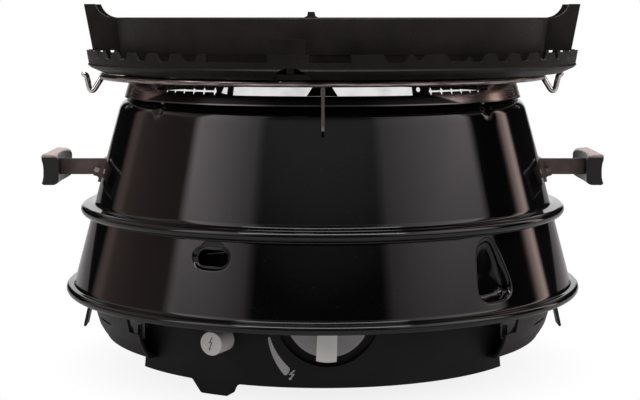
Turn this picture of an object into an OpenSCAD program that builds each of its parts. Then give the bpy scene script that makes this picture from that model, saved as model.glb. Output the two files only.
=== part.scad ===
// Portable gas grill: an enamelled conical shell on a moulded bowl base, with a
// burner, a drip pan and a windshield inside, and a wire pan support, a grill
// plate and a griddle tray stacked on top. Front is -Y, up is +Z, and the origin
// is on the ground under the shell's axis. An azimuth is measured from the front
// towards the right (+X).

/* [Base bowl] */
// Height of the feet, from the ground to the bowl's underside
foot_h = 25.5; // [20:0.5:34]
// Thickness of the rubber tips under the feet
foot_tip_h = 3; // [2:0.5:5]
// Radius of each foot at its top
foot_r = 11; // [9:0.5:13]
// Distance of the feet from the axis
foot_circle_r = 112; // [100:1:120]
// Azimuth of the two front feet
front_foot_azimuth = 66; // [62:1:75]
// Azimuth of the two rear feet
rear_foot_azimuth = 138; // [125:1:145]
// How far the bowl's top edge stands inside the shell's foot
bowl_inset = 15.5; // [14:0.5:17]
// How much the bowl's wall draws in from there to where it turns under
bowl_draft = 10; // [8.5:0.5:11]
// Height of the bowl
bowl_h = 33.7; // [30:0.5:38]
// Thickness of the bowl's moulded wall
bowl_wall = 2.4; // [1.8:0.1:3]
// Rounding of the bowl's bottom edge
bowl_edge_r = 4; // [3:0.5:6]
// Azimuth at which the bowl's wall stops beside the control panel, upper part
bowl_front_azimuth = 52; // [50:0.5:56]
// Azimuth at which the bowl's wall stops beside the control panel, lower part
bowl_step_azimuth = 48; // [46:0.5:49.5]
// Height of that step above the bowl's underside
bowl_step_h = 19; // [14:1:24]

/* [Base pan] */
// Gap between the pan's wall and the bowl where that turns under
pan_gap = 12.4; // [11.5:0.1:16]
// Gap between the bowl's floor and the pan's floor
pan_floor_gap = 4; // [3:0.5:6]
// Thickness of the pan's steel sheet
pan_wall = 1.2; // [0.8:0.1:2]
// How far the pan's flange reaches out under the shell's foot
flange_reach = 4; // [2.5:0.5:5]
// Distance of the pan's screws from its wall
screw_inset = 20; // [16:1:26]
// Azimuth at which the pan's wall stops beside the control panel
pan_front_azimuth = 47; // [44:1:49]

/* [Control panel] */
// Height of the panel's lower edge above the ground
panel_bottom_z = 15.5; // [12:0.5:20]
// Height of the panel
panel_h = 92; // [88:1:96]
// Thickness of the panel
panel_wall = 2.6; // [2:0.1:3.5]
// Azimuth of the panel's ends at its lower edge
panel_azimuth = 54; // [52.5:0.1:55]
// Azimuth of the panel's ends above the shell's rim
panel_top_azimuth = 51.4; // [50:0.1:51.9]
// Depth of the tongue that hangs below the panel's left half
tongue_h = 9.5; // [6:0.5:11]
// Width of the tongue at its lower edge
tongue_w = 21; // [16:1:26]
// Distance of the tongue's middle from the panel's middle
tongue_x = 77.8; // [70:0.1:82]

/* [Knob and valve] */
// Height of the knob's axis above the ground
knob_z = 68; // [65:0.5:70]
// Distance of the knob's axis from the middle of the panel
knob_x = 3.5; // [0:0.5:6]
// Radius of the knob's disc
knob_r = 29.6; // [26:0.2:31]
// Thickness of the knob's disc
knob_disc_h = 12; // [9:0.5:13]
// Height of the grip bar above the disc
knob_bar_h = 9; // [7:0.5:10]
// Width of the grip bar
knob_bar_w = 14.4; // [11:0.2:18]
// Angle at which the grip bar stands when the gas is off, clockwise from upright
knob_rest = 2; // [0:1:10]
// Radius of the round recess behind the knob
recess_r = 37.3; // [35:0.1:39]
// Depth of that recess below the panel's face
knob_recess_d = 7.8; // [7:0.1:8.5]
// Radius of the valve's spindle
spindle_r = 3; // [2.5:0.1:4]
// Radius of the valve body
valve_r = 11; // [9:0.5:14]
// Length of the valve body
valve_l = 34; // [28:1:38]

/* [Igniter] */
// Azimuth of the igniter's button
igniter_azimuth = -25.5; // [-27:0.1:-24]
// Height of the igniter's axis above the ground
igniter_z = 47.5; // [46:0.5:50]
// Radius of the button
button_r = 8.6; // [7:0.1:9.5]
// How far the button's face stands out of the panel
button_out = 18; // [15:0.5:20]
// How far the button travels when it is pushed
button_travel = 6; // [4:0.5:7]
// Length of the igniter's body behind the panel
igniter_l = 46; // [40:1:50]
// Length of the igniter's spring when the button is pressed
igniter_spring_l = 10; // [7:0.5:12]

/* [Shell] */
// Radius of the cone at the shell's foot
shell_bottom_r = 200; // [198:0.5:202]
// Height of the shell
shell_h = 152.5; // [140:0.5:165]
// Angle between the shell's wall and the vertical
cone_angle = 15.1; // [14.6:0.1:15.6]
// Thickness of the enamelled sheet
shell_wall = 1.2; // [0.9:0.1:1.6]
// Rounding of the shell's shoulder
shoulder_r = 12; // [10:0.5:14]
// Half the height of the bead round the shell's foot
foot_bead_r = 3.5; // [2.5:0.1:4.5]
// How far the foot bead's centre stands outside the cone
foot_bead_out = 2.1; // [1:0.1:3]
// Half the height of the bead round the shell's middle
mid_bead_r = 4; // [3:0.1:5]
// How far the middle bead's centre stands outside the cone
mid_bead_out = 5.9; // [4:0.1:7]
// Height of the middle bead above the shell's foot
mid_bead_h = 65.5; // [55:0.5:75]
// Width of the lip that the shell stands on
shell_lip_w = 10; // [9:0.5:12]
// Azimuth of the two V dents in the shoulder
dent_azimuth = 47.5; // [40:0.5:52]
// Azimuth of the oblong port on the left
port_azimuth = -24; // [-28:0.5:-20]
// Height of the port's middle above the shell's foot
port_h = 49.2; // [46:0.2:50]
// Width of the port's opening
port_w = 24; // [18:0.5:28]
// Height of the port's opening
port_d = 10.8; // [8:0.2:12]
// Width of the dimple pressed round the port
dimple_w = 31; // [28:0.5:34]
// Height of that dimple
dimple_h = 20.4; // [18:0.2:21]
// Depth of that dimple
dimple_depth = 2.4; // [1.8:0.1:3.5]
// Azimuth of the hose recess on the right
recess_azimuth = 39.2; // [36:0.2:43]
// Depth of the hose recess
recess_depth = 7; // [5:0.5:9]

/* [Latches] */
// Height of the latch pins above the bowl's underside
latch_pin_h = 28.5; // [27:0.5:30]
// How far the latch pins stand outside the bowl's top edge
latch_pin_out = 1.5; // [0.5:0.5:2.5]
// Radius of the latch pins
latch_pin_r = 1.6; // [1.2:0.1:2]
// Width of a latch
latch_w = 16; // [12:1:20]
// Thickness of a latch's strip
latch_t = 2.2; // [1.6:0.1:2.6]
// Length of the pull tab below the pin
latch_tab = 26; // [20:1:30]
// Angle at which the pull tab stands off the vertical
latch_flare = 13; // [8:1:18]

/* [Handles] */
// Height of the handle straps' middle above the shell's foot
handle_h = 95.9; // [92:0.1:104]
// Height of a strap
strap_h = 12.8; // [10:0.1:16]
// Thickness of a strap and its foot
strap_t = 2; // [1.5:0.1:3]
// Width of a strap's foot
strap_foot_w = 25; // [22:0.5:26]
// Height of a strap's foot
strap_foot_h = 19.6; // [17:0.2:22]
// Distance between the two bolts of a foot
bolt_gap = 15; // [13:0.5:16]
// Depth of the flat pressed into the shell behind a foot
pad_depth = 0.5; // [0.4:0.05:0.6]
// Distance of a grip's middle from the shell's wall
grip_out = 39; // [36:0.5:46]
// Length of a grip
grip_l = 66; // [60:1:80]
// Height of a grip
grip_h = 24.2; // [22:0.2:27]
// Width of a grip at its ends
grip_w = 13.3; // [12:0.1:15]
// How much slimmer a grip is in its middle
grip_hollow = 3.6; // [2:0.1:4.5]
// Radius of the handle bolts
bolt_r = 2; // [1.5:0.1:2.5]

/* [Windshield] */
// Height of the windshield
wind_h = 14; // [12:0.5:17]
// How far the windshield's foot stands outside the shoulder's centre
wind_out = 7.2; // [6.4:0.1:8]
// Thickness of the windshield's sheet
wind_wall = 0.8; // [0.6:0.1:1.2]
// Half the angle of the front opening
wind_open_azimuth = 24.3; // [20:0.1:25]
// Height of the low wall across the front opening
wind_sill_h = 7; // [5:0.5:9]
// Number of slits that cross each slot
slit_count = 6; // [4:1:7]
// Angle between two slits
slit_pitch = 3.5; // [3:0.1:3.8]
// Height of a slit
slit_h = 5.2; // [4:0.2:6]

/* [Burner] */
// Height of the burner's underside above the pan's floor
burner_z = 116; // [100:1:124]
// Radius of the burner head
burner_r = 48; // [40:1:54]
// Height of the burner's bowl
burner_h = 16; // [12:0.5:20]
// Number of flame ports round the burner's cap
port_count = 28; // [24:2:48]
// Half the width of the burner's stand at its feet
stand_half_w = 52; // [46:1:60]
// Length of each of its feet
stand_foot = 24; // [20:1:26]
// Width of its sheet
stand_w = 18; // [14:1:24]
// Thickness of its sheet
stand_t = 1.5; // [1.2:0.1:2]
// Distance of the stand behind the burner's middle
stand_y = 24; // [20:1:27]
// Outer radius of the mixing tube
mixer_r = 12; // [10:0.5:14]
// Radius of the gas pipe
gas_pipe_r = 3; // [2.5:0.1:4]
// Height of the gas pipe above the pan's floor
gas_pipe_h = 12; // [9:0.5:13.5]
// Radius of the tail that the gas hose is pushed onto
hose_tail_r = 4; // [3:0.5:5]
// Depth of the drip pan
drip_depth = 17; // [14:0.5:20]
// Inner radius of the drip pan
drip_hole_r = 66; // [62:1:70]

/* [Pan support] */
// How far the wire ring stands outside the shell's shoulder, to the wire's middle
ring_out = 11.9; // [8:0.1:15]
// Radius of the wire
wire_r = 2.5; // [2:0.1:3]
// Length of the pins that hang from the ring
spike_l = 33; // [24:1:40]
// Radius of the pins
spike_r = 1.3; // [1:0.1:1.8]
// Depth of the hooks at the sides
hook_depth = 13; // [10:0.5:15.5]
// How far a hook's upright arm stands outside the ring
hook_out = 14.6; // [13:0.1:16]
// Length of the outward bend at a hook's end
hook_tip = 4; // [2:0.5:5]

/* [Grill plate] */
// Distance of the plate from the shell's axis, as it lies on the ring
plate_x = 7.5; // [0:0.5:8]
// How far the plate's top edge stands outside the ring
plate_over = 19.2; // [18:0.2:22]
// Height of the plate
plate_h = 17.2; // [15:0.2:20]
// Thickness of the plate's wall
plate_wall = 2.6; // [2:0.1:3.2]
// Thickness of the plate's floor
plate_floor = 3.2; // [2.5:0.1:4]
// Number of notches that would fit round the plate
notch_count = 52; // [46:1:58]
// Depth of a notch
notch_d = 5.4; // [4:0.2:6.5]
// Width of a notch at its mouth
notch_w = 15.5; // [12:0.5:17]
// Azimuth of the tab on the plate's rim
tab_azimuth = -9.3; // [-10.5:0.1:-8]
// Width of the tab
tab_w = 25; // [20:0.5:28]
// Height of the tab above the plate's rim
tab_h = 10.5; // [7:0.5:13]
// Width of the ribs on the plate's floor
rib_w = 5; // [4:0.5:6]
// Height of the ribs above the plate's floor
rib_h = 6.2; // [4:0.2:7]
// Distance between the middles of two ribs
rib_pitch = 15; // [13:0.5:18]

/* [Griddle tray] */
// Gap between the tray's top edge and the plate's, seen from above
tray_gap = 23.2; // [21.4:0.1:28]
// Height of the tray's wall
tray_h = 25.8; // [20:0.2:28]
// Inset of the tray's wall at its foot
tray_taper = 3; // [1:0.5:6]
// Thickness of the tray's wall
tray_wall = 3; // [2.5:0.1:4]
// Inset of the foot ring under the tray
tray_foot_inset = 20; // [15:1:30]
// Height of the foot ring
tray_foot_h = 6.8; // [6.2:0.2:8.4]
// How far an ear's top stands outside the tray
ear_out = 24.3; // [22:0.1:26]
// Height of an ear above the tray's underside
ear_h = 36.3; // [33:0.1:38]
// Length of an ear
ear_l = 34; // [28:1:44]
// Angle at which an ear leans out
ear_lean = 10.2; // [6:0.2:13]
// Azimuth of the small lug on the tray's rim
rim_lug_azimuth = -5.3; // [-20:0.1:20]

/* [Clearances] */
// Gap between pieces that rest on one another
seat_gap = 0.3; // [0.2:0.05:0.5]
// Gap round a piece that slides or turns in a hole
slide_gap = 0.35; // [0.2:0.05:0.5]
// Radial clearance of a running shaft
run_gap = 0.05; // [0.02:0.01:0.1]

/* [Hidden] */
$fn = 96;

// Levels, from the ground up
bowl_z = foot_h;
bowl_floor_z = bowl_z + bowl_wall;
pan_z = bowl_floor_z + pan_floor_gap;
pan_floor_z = pan_z + pan_wall;
bowl_rim_z = bowl_z + bowl_h;
flange_z = bowl_rim_z + seat_gap;
shell_z = flange_z + pan_wall + seat_gap;
shell_top_z = shell_z + shell_h;
shoulder_z = shell_top_z - shoulder_r;
mid_bead_z = shell_z + mid_bead_h;
foot_bead_z = shell_z + foot_bead_r;
wind_z = shell_top_z + seat_gap;
wind_top_z = wind_z + wind_h;
arm_r = wire_r - 0.2;
ring_z = wind_top_z + seat_gap + arm_r;
plate_z = ring_z + wire_r + seat_gap;
plate_top_z = plate_z + plate_h;
plate_floor_z = plate_z + plate_floor;
rib_top_z = plate_floor_z + rib_h;
tray_foot_z = rib_top_z + seat_gap;
tray_z = tray_foot_z + tray_foot_h;
tray_top_z = tray_z + tray_h;

// Radii of the base, from the shell's foot inwards
shell_lip_r = shell_bottom_r - shell_lip_w;
bowl_top_r = shell_bottom_r - bowl_inset;
bowl_bottom_r = bowl_top_r - bowl_draft;
pan_r = bowl_bottom_r - pan_gap;
pan_flange_r = shell_lip_r + flange_reach;
bowl_screw_r = pan_r - screw_inset;
latch_pin_x = bowl_top_r + latch_pin_out;

// The cone's radius at height z, and the centre of the shoulder's rounding, which
// is tangent to the cone and to the shell's flat top
function cone_r(z) = shell_bottom_r - (z - shell_z) * tan(cone_angle);
shoulder_cx = cone_r(shoulder_z) - shoulder_r / cos(cone_angle);
mid_bead_cx = cone_r(mid_bead_z) + mid_bead_out;
foot_bead_cx = cone_r(foot_bead_z) + foot_bead_out;

panel_r = pan_r + seat_gap + panel_wall;
panel_in_r = pan_r + seat_gap;
panel_half_w = panel_r * sin(panel_azimuth);
panel_top_half_w = panel_r * sin(panel_top_azimuth);
recess_floor_y = panel_r - knob_recess_d;
button_face_r = panel_r + button_out;
latch_pin_z = bowl_z + latch_pin_h;
handle_z = shell_z + handle_h;
grip_x = cone_r(handle_z) + grip_out;
ring_r = cone_r(shoulder_z) + ring_out;
plate_r = ring_r + plate_over;
tray_r = plate_r - tray_gap;
tray_foot_r = tray_r - tray_foot_inset;
ear_x = tray_r + ear_out;
port_z = shell_z + port_h;
cup_r = recess_r + panel_wall;
// Height left of the pan's wall where it is cut away behind the control panel
pan_stub_h = 0.6;
cup_notch_w = 2 * sqrt(pow(cup_r + seat_gap, 2) - pow(knob_z - pan_floor_z - pan_stub_h, 2)) + 1;
big = 600;

// Point of an arc about (cx, cy), at the angle a
function arc(cx, cy, r, a0, a1, n) =
    [for (i = [0:n]) [cx + r * cos(a0 + (a1 - a0) * i / n), cy + r * sin(a0 + (a1 - a0) * i / n)]];

// Turns children built at the front (-Y) to the given azimuth
module around(azimuth) rotate([0, 0, azimuth]) children();

// Revolves a profile from one azimuth to another
module sweep(from, to) rotate([0, 0, from - 90]) rotate_extrude(angle = to - from) children();

// Cylinder that points out along the front direction, from distance y0 to y1
module radial_rod(r, y0, y1, z = 0) translate([0, -y0, z]) rotate([90, 0, 0]) cylinder(r = r, h = y1 - y0);

// Wedge between two azimuths
module wedge(from, to, r = big, z0 = -big, z1 = big) translate([0, 0, z0])
    linear_extrude(z1 - z0) polygon(concat([[0, 0]],
        [for (i = [0:8]) let (a = from + (to - from) * i / 8) [r * sin(a), -r * cos(a)]]));

// Straight wire between two points
module rod(a, b, r) {
    d = b - a;
    l = norm(d);
    translate(a) rotate([0, acos(d[2] / l), atan2(d[1], d[0])]) cylinder(r = r, h = l, $fn = 32);
}

// Rounded slot, w by d, extruded along the front direction at height z
module oblong(w, d, y0, y1, z) translate([0, -y0, z]) rotate([90, 0, 0]) linear_extrude(y1 - y0) {
    square([w - d, d], center = true);
    translate([(w - d) / 2, 0]) circle(d = d);
    translate([(d - w) / 2, 0]) circle(d = d);
}

module both_sides() {
    children();
    mirror([1, 0, 0]) children();
}

// Base

// Outline of the bowl's outer face, inset by t
function bowl_line(t) = concat(
    [[0, bowl_z + t]],
    arc(bowl_bottom_r - bowl_edge_r - 0.5, bowl_z + bowl_edge_r, bowl_edge_r - t, -90, -10, 6),
    [[bowl_bottom_r + 1.6 - t, bowl_z + bowl_h * 0.18],
     [bowl_bottom_r + 4.6 - t, bowl_z + bowl_h * 0.34],
     [(bowl_bottom_r + bowl_top_r) / 2 + 2 - t, bowl_z + bowl_h * 0.58],
     [bowl_top_r - t, bowl_rim_z]]);

module base_bowl() color([0.09, 0.09, 0.095]) {
    difference() {
        rotate_extrude($fn = 128) difference() {
            polygon(concat(bowl_line(0), [[0, bowl_rim_z]]));
            polygon(concat(bowl_line(bowl_wall), [[0, bowl_rim_z + 1]]));
        }
        wedge(-bowl_front_azimuth, bowl_front_azimuth, z0 = bowl_z + bowl_step_h);
        difference() {
            wedge(-bowl_step_azimuth, bowl_step_azimuth, z0 = bowl_z - 1);
            cylinder(r = pan_r - seat_gap, h = big);
        }
        // slot that the control panel's ends stand in
        sweep(-panel_azimuth - 1, panel_azimuth + 1) translate([pan_r - seat_gap, bowl_z - 1]) square([panel_wall + 3 * seat_gap, bowl_h]);
        foot_places() translate([0, 0, bowl_z - 1]) cylinder(r = 1.9, h = bowl_wall + 2);
        bowl_screw_places() translate([0, 0, bowl_z - 1]) cylinder(r = 1.9, h = bowl_wall + 2);
        // pockets in the wall, in which the latches swing
        both_sides() translate([bowl_bottom_r - 4, -latch_w / 2 - 1, bowl_z + bowl_h * 0.4])
            cube([30, latch_w + 2, bowl_h]);
        inlet_hole();
        // shallow line pressed below the rim, beside the panel
        both_sides() sweep(62, 70) translate([bowl_top_r - 4.4, bowl_rim_z - 15]) square([8, 1.6]);
    }
    // bosses that the pan stands on
    bowl_screw_places() difference() {
        translate([0, 0, bowl_floor_z - 1]) cylinder(r = 6, h = pan_floor_gap - seat_gap + 1);
        translate([0, 0, bowl_z]) cylinder(r = 1.9, h = 20);
    }
    latch_ears();
}

// Pairs of ears beside each pocket, in which a latch pin sits
module latch_ears() both_sides() for (side = [-1, 1])
    translate([0, side * (latch_w / 2 + 2.6), 0]) rotate([90, 0, 0]) translate([0, 0, -1.5])
        linear_extrude(3) difference() {
            polygon([[bowl_top_r - bowl_wall - 3, latch_pin_z - 7], [latch_pin_x, latch_pin_z - 4.6],
                [latch_pin_x + 3.4, latch_pin_z - 2], [latch_pin_x + 3.4, latch_pin_z + 2],
                [latch_pin_x, latch_pin_z + 4.4], [bowl_top_r - bowl_wall - 3, latch_pin_z + 4.6]]);
            translate([latch_pin_x, latch_pin_z]) circle(r = latch_pin_r + run_gap, $fn = 48);
        }

module foot_places() both_sides() {
    around(front_foot_azimuth) translate([0, -foot_circle_r, 0]) children();
    around(rear_foot_azimuth) translate([0, -foot_circle_r, 0]) children();
}

// Way through the rear walls for the gas inlet
module inlet_hole() translate([knob_x, 0, gas_pipe_z]) rotate([-90, 0, 0]) translate([0, 0, pan_r - 10])
    cylinder(r = gas_inlet_r + seat_gap, h = 60);

module feet() color([0.10, 0.10, 0.105]) foot_places() difference() {
    translate([0, 0, foot_tip_h]) cylinder(r1 = foot_r - 2, r2 = foot_r, h = foot_h - foot_tip_h);
    translate([0, 0, foot_h - 14]) cylinder(r = 1.5, h = 20);
}

module foot_tips() color([0.16, 0.16, 0.16]) foot_places() rotate_extrude()
    polygon([[0, 0], [foot_r - 3, 0], [foot_r - 2, 1], [foot_r - 2, foot_tip_h], [0, foot_tip_h]]);

// Pan-head screw that points down from z
module screw(z, l, r = 1.4, head_r = 3.4, head_h = 2) translate([0, 0, z]) {
    translate([0, 0, -l]) cylinder(r = r, h = l + 0.5, $fn = 32);
    cylinder(r = head_r, h = head_h, $fn = 32);
}

module foot_screws() color([0.75, 0.75, 0.77]) foot_places() screw(bowl_floor_z, bowl_wall + 12);

module bowl_screw_places() both_sides() {
    around(82) translate([0, -bowl_screw_r, 0]) children();
    around(118) translate([0, -bowl_screw_r, 0]) children();
    around(160) translate([0, -bowl_screw_r, 0]) children();
}

module base_pan() color([0.13, 0.13, 0.135]) difference() {
    rotate_extrude($fn = 128) polygon([[0, pan_z], [pan_r, pan_z], [pan_r, flange_z], [pan_flange_r, flange_z],
        [pan_flange_r, flange_z + pan_wall], [pan_r - pan_wall, flange_z + pan_wall],
        [pan_r - pan_wall, pan_floor_z], [0, pan_floor_z]]);
    // the wall and the flange leave room for the control panel
    wedge(-pan_front_azimuth, pan_front_azimuth, z0 = pan_floor_z + pan_stub_h);
    difference() {
        wedge(-bowl_front_azimuth - 4, bowl_front_azimuth + 4, z0 = flange_z - 1);
        cylinder(r = pan_r + seat_gap / 2, h = big);
    }
    bowl_screw_places() translate([0, 0, pan_z - 1]) cylinder(r = 1.6, h = 6);
    stand_screw_places() translate([0, 0, pan_z - 1]) cylinder(r = 1.6, h = 6);
    // slots in the flange for the latches
    both_sides() translate([latch_pin_x - 7, -latch_w / 2 - 1, flange_z - 1]) cube([30, latch_w + 2, 5]);
    // air holes in the floor
    for (a = [10:20:350]) around(a) translate([0, -92, pan_z - 1]) cylinder(r = 5, h = 4);
    // ways in for the gas inlet and the panel's screws, and room for the panel's cup
    inlet_hole();
    panel_screw_places() radial_rod(1.6, pan_r - 5, pan_r + 5);
    translate([knob_x - cup_notch_w / 2, -pan_r - 20, pan_z - 1])
        cube([cup_notch_w, pan_r + 20 - recess_floor_y + panel_wall + seat_gap, 10]);
}

// Screws that hold the pan to the bowl, and the burner's stand to the pan
module bowl_screws() color([0.75, 0.75, 0.77]) {
    bowl_screw_places() screw(pan_floor_z, pan_wall + pan_floor_gap + bowl_wall - 0.4);
    stand_screw_places() screw(pan_floor_z + stand_t, stand_t + pan_wall + 1.6);
}

// Strips that brace the pan against the bowl, beside the control panel
module side_stays() color([0.42, 0.42, 0.43]) both_sides() for (a = [56.5, 124]) around(a) difference() {
    translate([0, -pan_r - seat_gap, pan_z + 4]) rotate([90, 0, -90])
        linear_extrude(7, center = true) polygon([[0, 0], [6, 0], [14, 16], [14, 20.5], [0, 20.5]]);
    translate([-5, -pan_r - 6, pan_z + 5]) cube([10, 4, 10]);
}

// Control panel

// Front view of the panel: a wide plate with slanted ends and a rounded tongue
function panel_outline() = let (z0 = panel_bottom_z, zt = z0 - tongue_h, w = tongue_w / 2) concat(
    [[-panel_half_w, z0]],
    arc(-tongue_x - w - 7.5, z0 - 2, 2, 90, 20, 3),
    arc(-tongue_x - w + 1.4, zt + 2.4, 2.4, 205, 270, 3),
    [[-tongue_x + w - 1.4, zt], [-tongue_x + w + 4.2, zt + 3.6]],
    arc(-tongue_x + w + 8.6, z0 - 3, 3, 170, 90, 4),
    [[panel_half_w, z0], [panel_top_half_w + 0.6, bowl_rim_z - 8], [panel_top_half_w, z0 + panel_h - 6]],
    arc(panel_top_half_w - 6, z0 + panel_h - 6, 6, 0, 90, 5),
    arc(6 - panel_top_half_w, z0 + panel_h - 6, 6, 90, 180, 5),
    [[-panel_top_half_w - 0.6, bowl_rim_z - 8]]);

module control_panel() color([0.11, 0.11, 0.115]) difference() {
    union() {
        intersection() {
            rotate_extrude($fn = 128) translate([panel_in_r, 0]) square([panel_wall, 200]);
            rotate([90, 0, 0]) linear_extrude(big) polygon(panel_outline());
        }
        // cup of the round recess behind the knob
        translate([knob_x, 0, knob_z]) radial_rod(cup_r, recess_floor_y - panel_wall,
            panel_r * cos(asin((cup_r + knob_x) / panel_r)));
        // collar behind the igniter's hole
        around(igniter_azimuth) radial_rod(button_r + slide_gap + 3, panel_in_r - 2, panel_in_r + 1, igniter_z);
        // lugs that stand on the pan's floor
        for (a = [-38, 38]) around(a) translate([-6, -panel_in_r - 1, pan_floor_z + pan_stub_h + seat_gap])
            cube([12, 16, 3]);
    }
    translate([knob_x, 0, knob_z]) radial_rod(recess_r, recess_floor_y, 200);
    translate([knob_x, 0, knob_z]) radial_rod(valve_neck_r + slide_gap, 120, 200);
    around(igniter_azimuth) radial_rod(button_r + slide_gap, 120, 200, igniter_z);
    panel_screw_places() radial_rod(1.7, pan_r - 5, panel_r + 5);
}

module panel_screw_places() for (a = [-49.6, 49.6]) around(a) translate([0, 0, bowl_rim_z - 5]) children();

module panel_screws() color([0.12, 0.12, 0.12]) panel_screw_places() {
    radial_rod(1.4, pan_r - 4, panel_r + 0.4);
    radial_rod(3, panel_r, panel_r + 1.6);
}

// Knob and valve

valve_neck_r = 6;
knob_back_y = recess_floor_y + 1;
knob_face_y = knob_back_y + knob_disc_h;
valve_front_y = recess_floor_y - panel_wall - seat_gap;
valve_back_y = valve_front_y - valve_l;

module at_knob(turn = 0) translate([knob_x, 0, knob_z]) rotate([0, turn, 0]) children();

module knob() color([0.46, 0.46, 0.46]) at_knob(knob_rest) difference() {
    union() {
        // disc with a rounded edge
        translate([0, -knob_back_y, 0]) rotate([90, 0, 0]) rotate_extrude()
            polygon(concat([[0, 0], [knob_r, 0]], arc(knob_r - 2, knob_disc_h - 2, 2, 0, 90, 5),
                [[0, knob_disc_h]]));
        // grip bar, with round ends and a slight taper
        intersection() {
            translate([0, -knob_face_y + 1, 0]) rotate([90, 0, 0]) linear_extrude(knob_bar_h + 1)
                polygon([[-knob_bar_w / 2, -knob_r - 3], [knob_bar_w / 2, -knob_r - 3],
                    [knob_bar_w / 2 - 0.6, knob_r + 3], [-knob_bar_w / 2 + 0.6, knob_r + 3]]);
            radial_rod(knob_r + 1.2, knob_back_y, knob_face_y + knob_bar_h);
        }
    }
    radial_rod(spindle_r + run_gap, knob_back_y - 1, knob_face_y + 3);
    // hollow back
    translate([0, -knob_back_y + 1, 0]) rotate([90, 0, 0]) rotate_extrude()
        translate([spindle_r + 4, 0]) square([knob_r - spindle_r - 6, knob_disc_h - 2]);
}

module valve_spindle() color([0.85, 0.72, 0.35]) at_knob() {
    radial_rod(spindle_r, valve_front_y - 16, knob_face_y + 2.7);
    radial_rod(spindle_r + 1.5, valve_front_y - 17, valve_front_y - 13);
}

module valve_body() color([0.80, 0.66, 0.32]) at_knob() difference() {
    union() {
        radial_rod(valve_r, valve_back_y, valve_front_y - 6);
        radial_rod(valve_neck_r, valve_front_y - 7, recess_floor_y + 0.6);
        translate([0, -valve_front_y + 1.6, 0]) cube([34, 3, 20], center = true);
        translate([0, -valve_front_y + 6, 0]) cube([16, 8, 16], center = true);
        // inlet boss underneath
        translate([0, -gas_rise_y, -valve_r - 4.6]) cylinder(r = 6, h = 12);
    }
    translate([0, -gas_rise_y, -valve_r - 6]) cylinder(r = gas_pipe_r + run_gap, h = 4.5);
    translate([0, -gas_rise_y, -valve_r - 6]) cylinder(r = 2, h = valve_r + 6);
    radial_rod(spindle_r + run_gap, valve_front_y - 13, 200);
    radial_rod(spindle_r + 1.5 + run_gap, valve_front_y - 18, valve_front_y - 12.6);
    radial_rod(2, valve_back_y - 1, valve_front_y - 10);
}

module gas_jet() color([0.86, 0.74, 0.40]) at_knob() difference() {
    union() {
        radial_rod(2, valve_back_y - 3, valve_back_y + 4);
        radial_rod(5, valve_back_y - 5, valve_back_y, $fn = 6);
        translate([0, -valve_back_y + 5, 0]) rotate([-90, 0, 0]) cylinder(r1 = 4, r2 = 2.2, h = 6);
    }
    radial_rod(0.4, valve_back_y - 20, valve_back_y + 10);
}

// Gas line

gas_inlet_r = 8;
gas_pipe_z = pan_floor_z + gas_pipe_h;
gas_rise_y = valve_front_y - 20;
pipe_bend_r = 6.6;
pipe_end_h = knob_z - valve_r - 2 - gas_pipe_z - pipe_bend_r;

// Quarter turn of tube in the plane X = 0, with its centre at (y, z), from the angle a
module quarter_bend(y, z, bend, r, a) translate([0, y, z]) rotate([90, 0, 90]) rotate([0, 0, a])
    rotate_extrude(angle = 90) translate([bend, 0]) circle(r = r, $fn = 48);

module gas_pipe() color([0.72, 0.45, 0.28]) translate([knob_x, 0, 0]) {
    // from the inlet forward, under the mixing tube, and up into the valve
    translate([0, 0, gas_pipe_z]) radial_rod(gas_pipe_r, 12 - pan_r, gas_rise_y - pipe_bend_r);
    quarter_bend(pipe_bend_r - gas_rise_y, gas_pipe_z + pipe_bend_r, pipe_bend_r, gas_pipe_r, 180);
    translate([0, -gas_rise_y, gas_pipe_z + pipe_bend_r]) cylinder(r = gas_pipe_r, h = pipe_end_h);
}

module gas_inlet() color([0.82, 0.69, 0.36]) translate([knob_x, 0, gas_pipe_z]) rotate([-90, 0, 0]) difference() {
    union() {
        translate([0, 0, pan_r - 12]) cylinder(r = 6, h = 24);
        translate([0, 0, pan_r - 8]) cylinder(r = gas_inlet_r - 1, h = 7.4, $fn = 6);
        translate([0, 0, pan_r + 11]) cylinder(r = hose_tail_r, h = 20);
        translate([0, 0, pan_r + 31]) cylinder(r1 = hose_tail_r, r2 = hose_tail_r - 1, h = 1);
    }
    translate([0, 0, pan_r - 20]) cylinder(r = gas_pipe_r + run_gap, h = 20 - 0.5);
    translate([0, 0, pan_r - 20]) cylinder(r = 1.8, h = 60);
}

// Igniter

button_tail_r = panel_in_r - 12;
igniter_end_r = panel_in_r - igniter_l;
// The spring is drawn as short as the pressed button leaves it
spring_back_r = button_tail_r - button_travel - igniter_spring_l - 2 * seat_gap;

module igniter_button() color([0.80, 0.80, 0.76]) around(igniter_azimuth) {
    translate([0, -button_tail_r, igniter_z]) rotate([90, 0, 0]) rotate_extrude()
        polygon(concat([[0, 0], [button_r, 0]],
            arc(button_r - 0.8, button_face_r - button_tail_r - 0.8, 0.8, 0, 90, 4),
            [[0, button_face_r - button_tail_r]]));
}

module igniter_body() color([0.15, 0.15, 0.16]) around(igniter_azimuth) difference() {
    union() {
        radial_rod(button_r + slide_gap + 1.6, igniter_end_r, panel_in_r - 2.3, igniter_z);
        radial_rod(button_r + slide_gap + 4.4, panel_in_r - 5.3, panel_in_r - 2.3, igniter_z);
    }
    radial_rod(button_r + slide_gap, spring_back_r, panel_r, igniter_z);
}

module igniter_spring() color([0.75, 0.75, 0.77]) around(igniter_azimuth)
    difference() {
        radial_rod(button_r - 1.4, spring_back_r + seat_gap, spring_back_r + seat_gap + igniter_spring_l, igniter_z);
        radial_rod(button_r - 2.4, spring_back_r - 1, button_tail_r, igniter_z);
    }

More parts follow.
